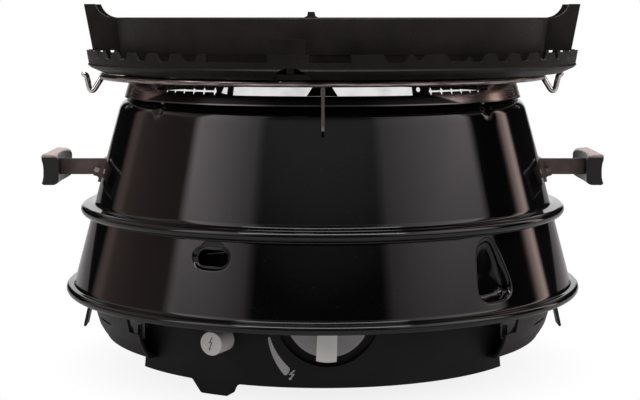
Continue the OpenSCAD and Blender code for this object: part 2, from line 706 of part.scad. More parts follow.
module igniter_nut() color([0.2, 0.2, 0.21]) around(igniter_azimuth) difference() {
    radial_rod(button_r + slide_gap + 6, panel_in_r - 9.3, panel_in_r - 5.6, igniter_z, $fn = 6);
    radial_rod(button_r + slide_gap + 1.6 + run_gap, panel_in_r - 12, panel_in_r, igniter_z);
}

lead_r = 1.5;
electrode_x = -62;
electrode_y = -14;
electrode_r = 3.2;

// Route of the ignition lead: in from the igniter, across the pan and up to the electrode
module ignition_lead() color([0.55, 0.12, 0.10]) {
    start_r = igniter_end_r - 1.4;
    start = [start_r * sin(igniter_azimuth), -start_r * cos(igniter_azimuth), igniter_z];
    knee = [electrode_x, electrode_y, igniter_z];
    rod(start, knee, lead_r);
    translate(knee) sphere(r = lead_r + 0.2, $fn = 24);
    rod(knee, [electrode_x, electrode_y, electrode_z], lead_r);
}

burner_bottom_z = pan_floor_z + burner_z;
burner_top_z = burner_bottom_z + burner_h;
electrode_z = burner_bottom_z - 8;
clamp_z = burner_h - 2.5;

module electrode() color([0.93, 0.93, 0.90]) translate([electrode_x, electrode_y, electrode_z]) {
    cylinder(r = electrode_r, h = 26, $fn = 32);
    // collar under the burner's tab
    translate([0, 0, clamp_z + 8 - seat_gap - 6]) cylinder(r = electrode_r + 1.6, h = 6, $fn = 32);
    translate([0, 0, 26]) cylinder(r = 0.9, h = 2.4, $fn = 24);
    rod([0, 0, 27.6], [12.4, 3, 27.2], 0.9);
}

// Burner

mixer_start_y = -valve_back_y + 14;
mixer_bend_r = 22;

// Path of the mixing tube, r wide: a straight run, a bend and the rise to the burner
module mixer_path(r, over) {
    translate([0, mixer_start_y + 9, 0]) rotate([-90, 0, 0]) cylinder(r = r, h = -mixer_start_y - mixer_bend_r - 9);
    quarter_bend(-mixer_bend_r, mixer_bend_r, mixer_bend_r, r, -90);
    translate([0, 0, mixer_bend_r]) cylinder(r = r, h = burner_bottom_z - knob_z - mixer_bend_r - seat_gap + over);
}

module mixing_tube() color([0.62, 0.62, 0.60]) translate([knob_x, 0, knob_z]) difference() {
    union() {
        translate([0, mixer_start_y, 0]) rotate([-90, 0, 0]) cylinder(r1 = mixer_r + 4, r2 = mixer_r, h = 10);
        mixer_path(mixer_r, 0);
    }
    mixer_path(mixer_r - 1.2, 1);
    translate([0, mixer_start_y - 1, 0]) rotate([-90, 0, 0])
        cylinder(r1 = mixer_r + 3.2, r2 = mixer_r - 1.2, h = 11);
    // air windows behind the mouth
    for (a = [45:90:315]) translate([0, mixer_start_y + 16, 0]) rotate([0, a, 0]) translate([0, 0, mixer_r - 3])
        cylinder(r = 3.4, h = 6);
}

module stand_screw_places() for (side = [-1, 1])
    translate([knob_x + side * (stand_half_w - stand_foot / 2), stand_y, 0]) children();

// Bridge of sheet steel that carries the burner from the pan's floor
module burner_stand() color([0.55, 0.55, 0.54]) difference() {
    translate([knob_x, stand_y, 0]) rotate([90, 0, 0]) linear_extrude(stand_w, center = true) difference() {
        polygon(concat(stand_line(0), [[stand_half_w, pan_floor_z], [-stand_half_w, pan_floor_z]]));
        polygon(concat(stand_line(stand_t), [[stand_half_w - stand_foot, pan_floor_z - 1],
            [stand_foot - stand_half_w, pan_floor_z - 1]]));
    }
    stand_screw_places() translate([0, 0, pan_floor_z - 1]) cylinder(r = 1.7, h = 4);
}

// Upper line of the stand, moved down and in by t: the foot, the leg, the bridge and back
function stand_line(t) = let (foot = stand_half_w - (t > 0 ? stand_foot : 0), leg = stand_half_w - stand_foot + 7.6 - t,
    top = stand_half_w * 0.45 - t * 0.8, z0 = pan_floor_z + (t > 0 ? 0 : stand_t), z1 = burner_bottom_z - seat_gap - t)
    [[-foot, z0], [-leg, z0], [-top, z1], [top, z1], [leg, z0], [foot, z0]];

module burner_bowl() color([0.35, 0.35, 0.34]) translate([knob_x, 0, burner_bottom_z]) {
    rotate_extrude() polygon([[mixer_r - 1.2, 0], [burner_r - 16, 0], [burner_r, burner_h - 5],
        [burner_r, burner_h], [burner_r - 2, burner_h], [burner_r - 2, burner_h - 4], [burner_r - 17, 2],
        [mixer_r - 1.2, 2]]);
    // tab that holds the electrode
    translate([0, electrode_y, clamp_z]) difference() {
        union() {
            translate([electrode_x - knob_x, -5, 0]) cube([knob_x - electrode_x - burner_r + 3.4, 10, 1.6]);
            translate([electrode_x - knob_x, 0, 0]) cylinder(r = 5, h = 1.6);
        }
        translate([electrode_x - knob_x, 0, -1]) cylinder(r = electrode_r + run_gap, h = 4);
    }
}

module burner_cap() color([0.30, 0.30, 0.29]) translate([knob_x, 0, burner_top_z + seat_gap]) difference() {
    rotate_extrude() polygon([[0, 8], [burner_r - 14, 6.5], [burner_r - 5, 5], [burner_r - 3, 3.6],
        [burner_r - 3, 0], [burner_r, 0], [burner_r, 6], [burner_r - 4, 8], [burner_r - 14, 9.5], [0, 11]]);
    for (i = [0:port_count - 1]) around(i * 360 / port_count) radial_rod(1.1, burner_r - 6, burner_r + 1, 3);
}

// Shell

// Bead pressed outwards from the cone: r is half its height, grown by t
module bead_profile(cx, z, r, t = 0) {
    translate([cx, z]) circle(r = r + t, $fn = 48);
    translate([cx - 24, z - r - t]) square([24, 2 * (r + t)]);
}

// Cone with its rounded shoulder, inset by t, closed to the axis
module cone_profile(t) polygon(concat(
    [[0, foot_bead_z], [cone_r(foot_bead_z) - t / cos(cone_angle), foot_bead_z]],
    arc(shoulder_cx, shoulder_z, shoulder_r - t, cone_angle, 90, 10),
    [[0, shell_top_z - t]]));

module shell_profile() difference() {
    union() {
        difference() {
            cone_profile(0);
            cone_profile(shell_wall);
            translate([0, shell_top_z - 2 * shell_wall]) square([shoulder_cx - 2.4, 20]);
        }
        difference() {
            bead_profile(mid_bead_cx, mid_bead_z, mid_bead_r);
            cone_profile(shell_wall);
        }
        difference() {
            bead_profile(foot_bead_cx, foot_bead_z, foot_bead_r);
            translate([0, shell_z - 1]) square([shell_lip_r, 30]);
            cone_profile(shell_wall);
        }
    }
    bead_profile(mid_bead_cx, mid_bead_z, mid_bead_r, -shell_wall);
    bead_profile(foot_bead_cx, foot_bead_z, foot_bead_r, -shell_wall);
}

// Outline of the dimple round the port: a wide oval that narrows up to the middle bead
function dimple_line(t) = let (w = dimple_w / 2 - t, h = dimple_h / 2 - t, neck = 7.4 - t)
    concat([for (a = [-200:10:20]) [w * cos(a), h * sin(a)]],
        [[w * 0.8, h * 0.8], [neck, h + 2.6 + t], [-neck, h + 2.6 + t], [-w * 0.8, h * 0.8]]);

// Outline of the hose recess: narrow above, wide and round below, with an upright left side
function recess_line(t) = concat(
    arc(-6.4, -17.6, 11.4 - t, 180, 262, 8), arc(6.6, -18.4, 11.6 - t, 280, 365, 8),
    arc(-3.4, 20.6, 4.8 - t, 20, 90, 4), arc(-6.4, 19.4, 6 - t, 95, 150, 4), [[t - 15.2, 8]]);

// Sinks a cup with the given outline into the wall: children 0 cuts its mouth, 1 its walls and 2 its floor
module outline_rod(azimuth, z, line) around(azimuth) translate([0, 0, z]) rotate([90, 0, 0])
    translate([0, 0, 120]) linear_extrude(120) polygon(line);

module pressed_cup(azimuth, z, mouth, inside, depth) {
    intersection() {
        difference() {
            outline_rod(azimuth, z, mouth);
            outline_rod(azimuth, z, inside);
            rotate_extrude($fn = 180) cone_profile(depth + shell_wall);
        }
        rotate_extrude($fn = 180) cone_profile(0);
    }
    intersection() {
        outline_rod(azimuth, z, mouth);
        rotate_extrude($fn = 180) difference() {
            cone_profile(depth);
            cone_profile(depth + shell_wall);
        }
    }
}

recess_z = shell_z + 35;

module shell() color([0.03, 0.03, 0.032]) difference() {
    union() {
        difference() {
            rotate_extrude($fn = 180) shell_profile();
            outline_rod(port_azimuth, port_z, dimple_line(0.4));
            outline_rod(recess_azimuth, recess_z, recess_line(0.4));
        }
        pressed_cup(port_azimuth, port_z, dimple_line(0), dimple_line(shell_wall), dimple_depth);
        pressed_cup(recess_azimuth, recess_z, recess_line(0), recess_line(shell_wall), recess_depth);
        // thicker wall behind the handles' flats
        both_sides() intersection() {
            rotate_extrude($fn = 180) difference() {
                cone_profile(shell_wall / 2);
                cone_profile(shell_wall + pad_depth + 0.3);
            }
            on_cone(bolt_z) translate([-15, -12, -15]) cube([30, 14, 32]);
        }
    }
    around(port_azimuth) oblong(port_w, port_d, 150, 250, port_z);
    windshield_rivet_places() translate([0, 0, shoulder_z]) cylinder(r = 1.6, h = 40, $fn = 32);
    both_sides() {
        on_cone(bolt_z) translate([-15, -pad_depth, -12]) cube([30, 10, 26]);
        // V dents in the shoulder
        around(-dent_azimuth) translate([0, -shoulder_cx, shoulder_z]) rotate([-45, 0, 0])
            translate([0, 1 - shoulder_r, -10]) linear_extrude(20)
                polygon([[-3, 0], [-9, -3], [-9, -8], [10, -8], [10, -1.4]]);
    }
    handle_bolt_places() cylinder(r = bolt_r + 0.2, h = 20, center = true);
}

// Latches

module latch_right() color([0.07, 0.07, 0.075]) translate([latch_pin_x, 0, latch_pin_z]) difference() {
    rotate([90, 0, 0]) linear_extrude(latch_w, center = true) difference() {
        union() {
            circle(r = latch_pin_r + 1.8, $fn = 48);
            // pull tab, leaning out
            rotate(latch_flare) translate([-latch_t / 2, -latch_tab]) square([latch_t, latch_tab]);
            rotate(latch_flare) translate([0, -latch_tab]) circle(d = latch_t, $fn = 24);
            // hook that reaches over the shell's lip
            polygon([[-1.4, 0], [1.4, 0], [1.2, hook_rise], [nose_out, hook_rise], [nose_out - 1.4, hook_rise + 2],
                [-1.4, hook_rise + 2.2]]);
        }
        circle(r = latch_pin_r + run_gap, $fn = 48);
    }
}

hook_rise = shell_z + shell_wall + seat_gap - latch_pin_z;
nose_out = shell_lip_r + 4 - latch_pin_x;

module latch_left() mirror([1, 0, 0]) latch_right();

module latch_pins() color([0.7, 0.7, 0.72]) both_sides() translate([latch_pin_x, 0, latch_pin_z]) rotate([90, 0, 0]) {
    translate([0, 0, -latch_w / 2 - 5]) cylinder(r = latch_pin_r, h = latch_w + 10, $fn = 48);
    for (side = [-1, 1]) translate([0, 0, side * (latch_w / 2 + 5) - 0.6]) cylinder(r = latch_pin_r + 1, h = 1.2);
}

// Handles

bolt_z = handle_z - 4.8;
strap_foot_z = handle_z - 2.1;
grip_end_x = grip_x + grip_w / 2;

// Places children flat on the cone at height z, on the right: +Y points out of the wall
module on_cone(z) translate([cone_r(z), 0, z]) rotate([0, -cone_angle, 0]) rotate([0, 0, -90]) children();

// The four places where the handles' feet are bolted to the shell
module handle_bolt_places() both_sides() for (side = [-1, 1])
    on_cone(bolt_z) translate([side * bolt_gap / 2, -pad_depth, 0]) rotate([-90, 0, 0]) children();

// Flat strip on edge, welded to a foot that lies on the shell's flat
module handle_strap_right() color([0.34, 0.31, 0.31]) {
    rotate([90, 0, 0]) linear_extrude(strap_t, center = true)
        polygon([[cone_r(handle_z - strap_h / 2) + 0.8, handle_z - strap_h / 2], [grip_end_x - 4, handle_z - strap_h / 2],
            [grip_end_x - 4, handle_z + strap_h / 2], [cone_r(handle_z + strap_h / 2) + 0.8, handle_z + strap_h / 2]]);
    difference() {
        on_cone(strap_foot_z) translate([-strap_foot_w / 2, seat_gap - pad_depth, -strap_foot_h / 2])
            cube([strap_foot_w, strap_t, strap_foot_h]);
        for (side = [-1, 1]) on_cone(bolt_z) translate([side * bolt_gap / 2, 0, 0])
            rotate([90, 0, 0]) cylinder(r = bolt_r + 0.2, h = 20, center = true, $fn = 32);
    }
}

module handle_strap_left() mirror([1, 0, 0]) handle_strap_right();

// Section of a grip: rounded towards the shell, and hollow for the fingers on the outside
function grip_section() = let (w = grip_w / 2, h = grip_h / 2) concat(
    arc(-w + 5.8, h - 6.4, 6, 180, 90, 7), [[w - 2.4, h]],
    arc(w - 2, h - 2, 2, 90, 0, 3),
    [[w - 0.2, h * 0.62], [w - 1.1, h * 0.36], [w - 1.5, 0], [w - 1.3, -h * 0.5], [w - 0.5, -h * 0.78]],
    arc(w - 1.8, 1.8 - h, 1.8, 0, -90, 3),
    arc(-w + 4.6, 4.6 - h, 4.6, 270, 180, 6));

// The hollow's radius, from its depth over the grip's length
grip_hollow_r = (pow(grip_l / 2, 2) + pow(grip_hollow, 2)) / (2 * grip_hollow);

module handle_grip_right() color([0.16, 0.15, 0.15]) difference() {
    translate([grip_x, 0, handle_z + 0.4]) rotate([90, 0, 0]) linear_extrude(grip_l, center = true)
        polygon(grip_section());
    translate([grip_x - grip_w / 2 + grip_hollow - grip_hollow_r, 0, handle_z - 30])
        cylinder(r = grip_hollow_r, h = 60, $fn = 360);
    // slot that the strap is pushed into
    translate([grip_x - grip_w, -strap_t / 2 - run_gap, handle_z - strap_h / 2 - run_gap])
        cube([grip_end_x - 4 - grip_x + grip_w + run_gap, strap_t + 2 * run_gap, strap_h + 2 * run_gap]);
}

module handle_grip_left() mirror([1, 0, 0]) handle_grip_right();

module handle_bolts() color([0.70, 0.70, 0.72]) handle_bolt_places() {
    translate([0, 0, -8]) cylinder(r = bolt_r, h = 12);
    translate([0, 0, 2 * seat_gap + strap_t]) cylinder(r = 4.4, h = 1);
    translate([0, 0, 2 * seat_gap + strap_t]) cylinder(r = 4, h = 4.8, $fn = 6);
}

module handle_nuts() color([0.66, 0.66, 0.68]) handle_bolt_places() difference() {
    translate([0, 0, -shell_wall - 4.2]) cylinder(r = 4, h = 3.2, $fn = 6);
    translate([0, 0, -10]) cylinder(r = bolt_r + run_gap, h = 20);
}

// Windshield

wind_r = shoulder_cx + wind_out;
wind_slope = tan(16.5);
slot_z = wind_z + wind_h * 0.68;
function wind_wall_r(z) = wind_r - (z - wind_z) * wind_slope;

module windshield_rivet_places() for (a = [50, 120, 240, 310]) around(a) translate([0, -shoulder_cx - 3.2, 0])
    children();

module windshield() color([0.42, 0.39, 0.38]) difference() {
    rotate_extrude($fn = 180) {
        polygon([[wind_r, wind_z], [wind_wall_r(wind_top_z), wind_top_z],
            [wind_wall_r(wind_top_z) - wind_wall, wind_top_z], [wind_r - wind_wall, wind_z]]);
        translate([shoulder_cx + 1.4, wind_z]) square([wind_r - shoulder_cx - 1.6, wind_wall]);
    }
    // front opening
    wedge(-wind_open_azimuth, wind_open_azimuth, z0 = wind_z + wind_sill_h);
    // window in the left end, and a round hole in the right one
    around(-wind_open_azimuth - 2.6) translate([0, -wind_r, slot_z + 1]) rotate([90, 0, 0])
        linear_extrude(20, center = true) polygon([[-2.6, -2], [2.4, -3], [2.4, 2.6], [-1, 2.6]]);
    around(wind_open_azimuth + 1.8) translate([0, 0, slot_z + 1.5]) radial_rod(1.75, wind_r - 10, wind_r + 10);
    both_sides() {
        // long slot, crossed by pointed slits
        sweep(wind_open_azimuth + 5, wind_open_azimuth + 28.5)
            translate([wind_r - 10, slot_z - 0.6]) square([20, 1.2]);
        for (i = [0:slit_count - 1]) around(wind_open_azimuth + 5.6 + i * slit_pitch)
            translate([0, -wind_r, slot_z]) rotate([90, 0, 0]) linear_extrude(20, center = true)
                polygon([[-1.5, 0], [-0.4, -slit_h / 2], [0.4, -slit_h / 2], [1.5, 0], [0.4, slit_h / 2],
                    [-0.4, slit_h / 2]]);
    }
    windshield_rivet_places() translate([0, 0, wind_z - 5]) cylinder(r = 1.6, h = 10, $fn = 32);
}

module windshield_rivets() color([0.6, 0.6, 0.6]) windshield_rivet_places() translate([0, 0, wind_z]) {
    translate([0, 0, -6]) cylinder(r = 1.4, h = 6.5 + wind_wall);
    translate([0, 0, wind_wall]) cylinder(r1 = 2.4, r2 = 1.6, h = 1.2);
}

// Drip pan

drip_z = shell_top_z - drip_depth;
drip_r = shoulder_cx - 3;

module drip_pan() color([0.86, 0.86, 0.86]) difference() {
    rotate_extrude($fn = 128) polygon([[drip_r + 4, shell_top_z + seat_gap], [drip_r + 4, shell_top_z + seat_gap + 0.8],
        [drip_r - 1, shell_top_z + seat_gap + 0.8], [drip_r - 2.4, drip_z + 0.8], [drip_hole_r + 0.8, drip_z + 0.8],
        [drip_hole_r + 0.8, drip_z + 9], [drip_hole_r, drip_z + 9], [drip_hole_r, drip_z],
        [drip_r - 1.6, drip_z], [drip_r - 0.2, shell_top_z + seat_gap]]);
    // pouring notch in the rear wall
    around(180) translate([0, -drip_r, drip_z + 9]) rotate([90, 0, 0]) linear_extrude(20, center = true)
        polygon([[-14, 0], [14, 0], [8.5, 8.6], [-8.5, 8.6]]);
}

// Pan support

module pan_support() color([0.80, 0.78, 0.76]) {
    translate([0, 0, ring_z]) rotate_extrude() translate([ring_r, 0]) circle(r = wire_r, $fn = 48);
    // hooks: down, up and out at the end
    both_sides() {
        knees = [[ring_r, 0, ring_z], [ring_r + hook_out - 4.6, 0, ring_z - hook_depth],
            [ring_r + hook_out, 0, ring_z - 0.3], [ring_r + hook_out + hook_tip, 0, ring_z]];
        for (i = [0:1]) rod(knees[i], knees[i + 1], arm_r);
        rod(knees[2] - [1, 0, 0.1], knees[3], arm_r - 0.15);
        for (i = [1:2]) translate(knees[i]) rotate(37) sphere(r = wire_r + 0.1, $fn = 32);
    }
    // arms that lie on the windshield, and the small ring that joins them
    for (a = [60, 180, 300]) around(a) radial_rod(arm_r, support_eye_r, ring_r, ring_z);
    translate([0, 0, ring_z]) rotate_extrude() translate([support_eye_r, 0]) circle(r = wire_r, $fn = 48);
    // pins that keep the ring centred on the shell
    for (a = [0, 120, 240]) around(a) translate([0, -ring_r, ring_z - spike_l]) cylinder(r = spike_r, h = spike_l);
}

support_eye_r = 36;

// Grill plate

// Teeth are left between the notches; the tab and two low stretches break the row
module notch(w, d) linear_extrude(20, center = true)
    polygon(concat([[w / 2 + 0.7, 1], [-w / 2 - 0.7, 1]], arc(-w / 2 + 4.4, 1.6 - d, 1.6, 200, 270, 3),
        arc(w / 2 - 4.4, 1.6 - d, 1.6, 270, 340, 3)));

module at_rim(azimuth, z) around(azimuth) translate([0, -plate_r, z]) rotate([90, 0, 0]) children();

module grill_plate() translate([plate_x, 0, 0]) color([0.10, 0.095, 0.095]) difference() {
    union() {
        rotate_extrude($fn = 180) polygon([[0, plate_z], [plate_r - 12.4, plate_z], [plate_r - 3, plate_z + 4.2],
            [plate_r - 0.9, plate_z + 6.2], [plate_r - 1.6, plate_z + 7.4], [plate_r, plate_top_z],
            [plate_r - plate_wall, plate_top_z], [plate_r - plate_wall - 1.6, plate_z + 7.4],
            [plate_r - 12, plate_floor_z], [0, plate_floor_z]]);
        // tab on the rim
        intersection() {
            rotate_extrude($fn = 180) translate([plate_r - plate_wall + 0.2, plate_top_z - 2])
                square([plate_wall - 0.4, tab_h + 2]);
            at_rim(tab_azimuth, 0) linear_extrude(40, center = true)
                translate([-tab_w / 2, plate_top_z - 3]) square([tab_w, tab_h + 3]);
        }
        // ribs on the floor, as long as the floor's circle allows
        for (i = [-11:11]) let (half = sqrt(pow(plate_r - 16, 2) - pow(abs(i) * rib_pitch + rib_w / 2, 2)))
            translate([i * rib_pitch - rib_w / 2, -half, plate_floor_z - 1]) cube([rib_w, 2 * half, rib_h + 1]);
    }
    // regular notches
    for (i = [4:notch_count - 5]) at_rim(i * 360 / notch_count + 3.4, plate_top_z) notch(notch_w, notch_d);
    // low stretches beside the tab, and the wide boss on its right
    low_stretch(-27, tab_azimuth - 4.2);
    low_stretch(tab_azimuth + 4.2, 3.4);
    at_rim(12.7, plate_top_z) notch(notch_w + 3, notch_d);
    at_rim(17.6, plate_top_z) notch(10, notch_d - 1.4);
    at_rim(26.4, plate_top_z) notch(notch_w + 5, notch_d - 0.6);
    // arched window under the tab
    at_rim(tab_azimuth + 0.4, plate_z) linear_extrude(30, center = true)
        polygon(concat([[-12.4, -1]], arc(0, -7.6, 16, 146, 34, 10), [[12.4, -1]]));
    // slots through the floor, between the ribs
    for (i = [-10:9], j = [-3:3]) let (x = (i + 0.5) * rib_pitch, y = j * 46)
        if (norm([abs(x) + 3, abs(y) + 17]) < ring_r - 22)
            translate([x - 3, y - 17, plate_z - 1]) cube([6, 34, plate_floor + 2]);
}

module low_stretch(from, to) intersection() {
    rotate_extrude() translate([plate_r - 8, plate_top_z - notch_d]) square([16, 10]);
    wedge(from, to);
}

// Griddle tray

module griddle_tray() translate([plate_x, 0, 0]) color([0.105, 0.10, 0.10]) {
    difference() {
        union() {
            rotate_extrude($fn = 180) {
                polygon([[0, tray_z], [tray_r - tray_taper, tray_z], [tray_r, tray_top_z - 1.2], [tray_r - 0.6, tray_top_z],
                    [tray_r - tray_wall + 0.4, tray_top_z], [tray_r - tray_wall - tray_taper, tray_z + 4.6],
                    [tray_r - tray_wall - tray_taper - 4, tray_z + tray_wall], [0, tray_z + tray_wall]]);
                translate([tray_foot_r - 4, tray_foot_z]) square([4, tray_foot_h + 1]);
            }
            both_sides() ear();
        }
    }
    // small lug on the rim, with a spread foot
    around(rim_lug_azimuth) translate([0, -tray_r + tray_wall / 2, tray_top_z - 1]) rotate([90, 0, 0])
        linear_extrude(tray_wall - 1, center = true)
            polygon([[-4.4, 0], [4.4, 0], [4.4, 1.2], [2.9, 2], [2.3, 4.8], [-2.1, 4.8], [-2.7, 2], [-4.4, 1.2]]);
    // ribs under the floor that stiffen the tray
    for (a = [0:60:300]) around(a) translate([-1.5, -tray_foot_r + 3, tray_foot_z + 3]) cube([3, 100, tray_foot_h - 2]);
}

ear_foot_x = ear_x - ear_h * tan(ear_lean);

// Ear on the right: a leaning wall, two gussets with a hollow top edge, and a ledge
module ear() {
    foot_t = 7.4;
    top_t = 3.2;
    rotate([90, 0, 0]) linear_extrude(ear_l, center = true)
        polygon([[ear_foot_x - foot_t, tray_z], [ear_foot_x, tray_z], [ear_x, tray_z + ear_h], [ear_x - top_t, tray_z + ear_h]]);
    for (side = [-1, 1]) translate([0, side * (ear_l / 2 - 1.5), 0]) rotate([90, 0, 0]) linear_extrude(3, center = true)
        difference() {
            polygon([[tray_r - 3.6, tray_z + 7], [ear_foot_x - 5, tray_z + 7], [ear_x - top_t + 1, tray_z + ear_h],
                [ear_x - top_t - 5, tray_z + ear_h], [tray_r - 3.6, tray_z + ear_h]]);
            translate([ear_x - top_t - 5 - 14.5, tray_z + ear_h + 4]) circle(r = 14.5, $fn = 96);
            translate([tray_r - 20, tray_top_z]) square([ear_x - top_t - 5 - 14.5 - tray_r + 20, 40]);
        }
    translate([tray_r - 3.6, -ear_l / 2, tray_z + 7]) cube([ear_foot_x - tray_r, ear_l, 3]);
    // small locating nub outside
    translate([ear_foot_x + 0.4, 0, tray_z + 9]) rotate([0, 90, 0]) cylinder(r1 = 3, r2 = 2.2, h = 2.4, $fn = 32);
}

base_bowl();
feet();
foot_tips();
foot_screws();
base_pan();
bowl_screws();
side_stays();
control_panel();
panel_screws();
knob();
valve_spindle();
valve_body();
gas_jet();
gas_pipe();
gas_inlet();
igniter_button();
igniter_body();
igniter_spring();
igniter_nut();
ignition_lead();
electrode();
mixing_tube();
burner_stand();
burner_bowl();
burner_cap();
shell();
latch_left();
latch_right();
latch_pins();
handle_strap_left();
handle_strap_right();
handle_grip_left();
handle_grip_right();
handle_bolts();
handle_nuts();
windshield();
windshield_rivets();
drip_pan();
pan_support();
grill_plate();
griddle_tray();
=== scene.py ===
"""Looks for the portable gas grill: finishes for its CAD nodes, a smooth skin for the shell, swept
wires for the pan support, a skirt and webs under the tray, the printed marks, the stage, the
lights and the camera. The front is -Y. Sizes of the object are given in millimetres, which MM turns
into metres. Those of the floor and the lamps are in metres."""

import math

import bpy
import numpy as np
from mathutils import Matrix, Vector

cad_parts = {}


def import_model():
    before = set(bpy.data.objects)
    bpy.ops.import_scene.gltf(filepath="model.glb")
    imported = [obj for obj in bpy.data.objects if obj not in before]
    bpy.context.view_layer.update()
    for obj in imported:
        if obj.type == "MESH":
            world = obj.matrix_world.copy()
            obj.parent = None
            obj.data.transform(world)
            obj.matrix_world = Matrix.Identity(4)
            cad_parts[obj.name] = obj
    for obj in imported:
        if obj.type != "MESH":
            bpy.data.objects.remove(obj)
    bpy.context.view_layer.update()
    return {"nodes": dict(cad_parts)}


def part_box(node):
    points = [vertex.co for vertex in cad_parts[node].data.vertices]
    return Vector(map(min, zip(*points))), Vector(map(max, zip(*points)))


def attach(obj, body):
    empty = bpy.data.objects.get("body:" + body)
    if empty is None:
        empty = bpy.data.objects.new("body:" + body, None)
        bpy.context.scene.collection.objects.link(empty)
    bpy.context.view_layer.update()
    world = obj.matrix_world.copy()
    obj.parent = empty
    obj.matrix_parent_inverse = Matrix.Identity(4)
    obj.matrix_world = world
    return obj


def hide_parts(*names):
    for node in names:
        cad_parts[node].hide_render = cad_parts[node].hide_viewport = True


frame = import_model()

MM = 0.001
WHITE = (1.0, 1.0, 1.0)


class Socket:
    """A shader output. Arithmetic on it adds Math nodes to its tree."""

    def __init__(self, nodes, output):
        self.nodes = nodes
        self.output = output

    def math(self, operation, other=0.0):
        inputs = {0: self, 1: other}
        return self.nodes.add("ShaderNodeMath", inputs, operation=operation)[0]

    def __add__(self, other):
        return self.math("ADD", other)

    def __sub__(self, other):
        return self.math("SUBTRACT", other)

    def __mul__(self, other):
        return self.math("MULTIPLY", other)

    def __gt__(self, other):
        return self.math("GREATER_THAN", other)

    def __lt__(self, other):
        return self.math("LESS_THAN", other)


class Outputs:
    """The outputs of one node, by name or number."""

    def __init__(self, nodes, node):
        self.nodes = nodes
        self.node = node

    def __getitem__(self, key):
        return Socket(self.nodes, self.node.outputs[key])


def from_axis(x, y):
    """Distance from the upright axis."""
    return (x * x + y * y).math("SQRT")


def from_front(x, y):
    """Azimuth from the front in degrees, growing towards +X."""
    return x.math("ARCTAN2", y * -1.0) * (180.0 / math.pi)


class Nodes:
    """A node tree, with short calls for the nodes used here."""

    def __init__(self, tree):
        self.tree = tree

    def put(self, socket, value):
        """Gives a socket a link or a plain value."""
        if isinstance(value, Socket):
            self.tree.links.new(value.output, socket)
        elif isinstance(value, tuple) and socket.type == "RGBA":
            socket.default_value = (*value, 1.0)
        else:
            socket.default_value = value

    def add(self, kind, inputs=None, **settings):
        """Adds a node: its settings first, then the values or links of its sockets."""
        node = self.tree.nodes.new(kind)
        for key, value in settings.items():
            setattr(node, key, value)
        for key, value in (inputs or {}).items():
            self.put(node.inputs[key], value)
        return Outputs(self, node)

    def split(self, vector):
        """The three parts of a vector."""
        parts = self.add("ShaderNodeSeparateXYZ", {"Vector": vector})
        return parts[0], parts[1], parts[2]

    def join(self, x, y, z):
        """A vector from its three parts."""
        return self.add("ShaderNodeCombineXYZ", {"X": x, "Y": y, "Z": z})[0]

    def spread(self, value, low, high, to_low=0.0, to_high=1.0):
        """Maps low..high of a value to to_low..to_high, held at the ends."""
        inputs = {0: value, 1: low, 2: high, 3: to_low, 4: to_high}
        return self.add("ShaderNodeMapRange", inputs, clamp=True)[0]

    def mix(self, factor, first, second):
        """The first colour where the factor is 0, the second where it is 1."""
        inputs = {0: factor, 6: first, 7: second}
        return self.add("ShaderNodeMix", inputs, data_type="RGBA", clamp_factor=True)[2]

    def blend(self, value, low, high, first, second, most=1.0):
        """Goes from the first colour to the second, or part of the way, as a value rises."""
        return self.mix(self.spread(value, low, high, 0.0, most), first, second)


class Finish(Nodes):
    """A material with one Principled shader, whose constants are set by name."""

    def __init__(self, name, colour, **constants):
        self.material = bpy.data.materials.new(name)
        self.material.use_nodes = True
        super().__init__(self.material.node_tree)
        self.shader = self.tree.nodes["Principled BSDF"]
        self.put(self.shader.inputs["Base Color"], colour)
        for key, value in constants.items():
            socket = "IOR" if key == "ior" else key.title()
            self.put(self.shader.inputs[socket], value)
        self.material.diffuse_color = (*colour, 1.0)

    def place(self):
        """Object coordinates."""
        return self.add("ShaderNodeTexCoord")["Object"]

    def axes(self):
        """The three object coordinates, one by one."""
        return self.split(self.place())

    def round_place(self, along, across, out):
        """Coordinates that follow a turned surface: its angle, height and radius, each times a
        factor of its own."""
        x, y, z = self.axes()
        return self.join(y.math("ARCTAN2", x) * along, z * across, from_axis(x, y) * out)

    def noise(self, scale, detail=2.0, roughness=0.5, vector=None):
        """Soft noise between 0 and 1. Scale is in cells per metre, or per unit of the vector."""
        inputs = {"Vector": vector or self.place(), "Scale": scale, "Detail": detail,
                  "Roughness": roughness}
        return self.add("ShaderNodeTexNoise", inputs)["Fac"]

    def brushing(self):
        """Streaks that follow the turn, as a brush leaves them on sheet steel."""
        return self.noise(1.0, 3.0, 0.6, self.round_place(5.0, 2600.0, 900.0))

    def feed(self, colour, roughness, height=None, depth=0.0, strength=0.0):
        """Connects what changes over the surface. The bump's depth is in millimetres."""
        self.put(self.shader.inputs["Base Color"], colour)
        self.put(self.shader.inputs["Roughness"], roughness)
        if height is not None:
            inputs = {"Height": height, "Distance": depth * MM, "Strength": strength}
            bump = self.add("ShaderNodeBump", inputs)["Normal"]
            self.put(self.shader.inputs["Normal"], bump)
        return self.material


def scaled(colour, share):
    """A colour with each of its parts times share."""
    return tuple(c * share for c in colour)


def enamel():
    """Gloss black enamel: a faint orange-peel ripple, dust and slight clouding."""
    f = Finish("gloss_enamel", (0.010, 0.010, 0.011), ior=1.5)
    peel = f.noise(380.0, 3.0, 0.55)
    cloud = f.noise(22.0, 4.0, 0.6)
    dust = f.noise(900.0, 1.0) > 0.74
    tone = f.blend(cloud, 0.35, 0.7, (0.0012, 0.0012, 0.0012), (0.0022, 0.0020, 0.0020))
    tone = f.mix(dust * 0.25, tone, (0.06, 0.056, 0.052))
    return f.feed(tone, f.spread(cloud, 0.3, 0.75, 0.05, 0.085), peel, 0.02, 0.3)


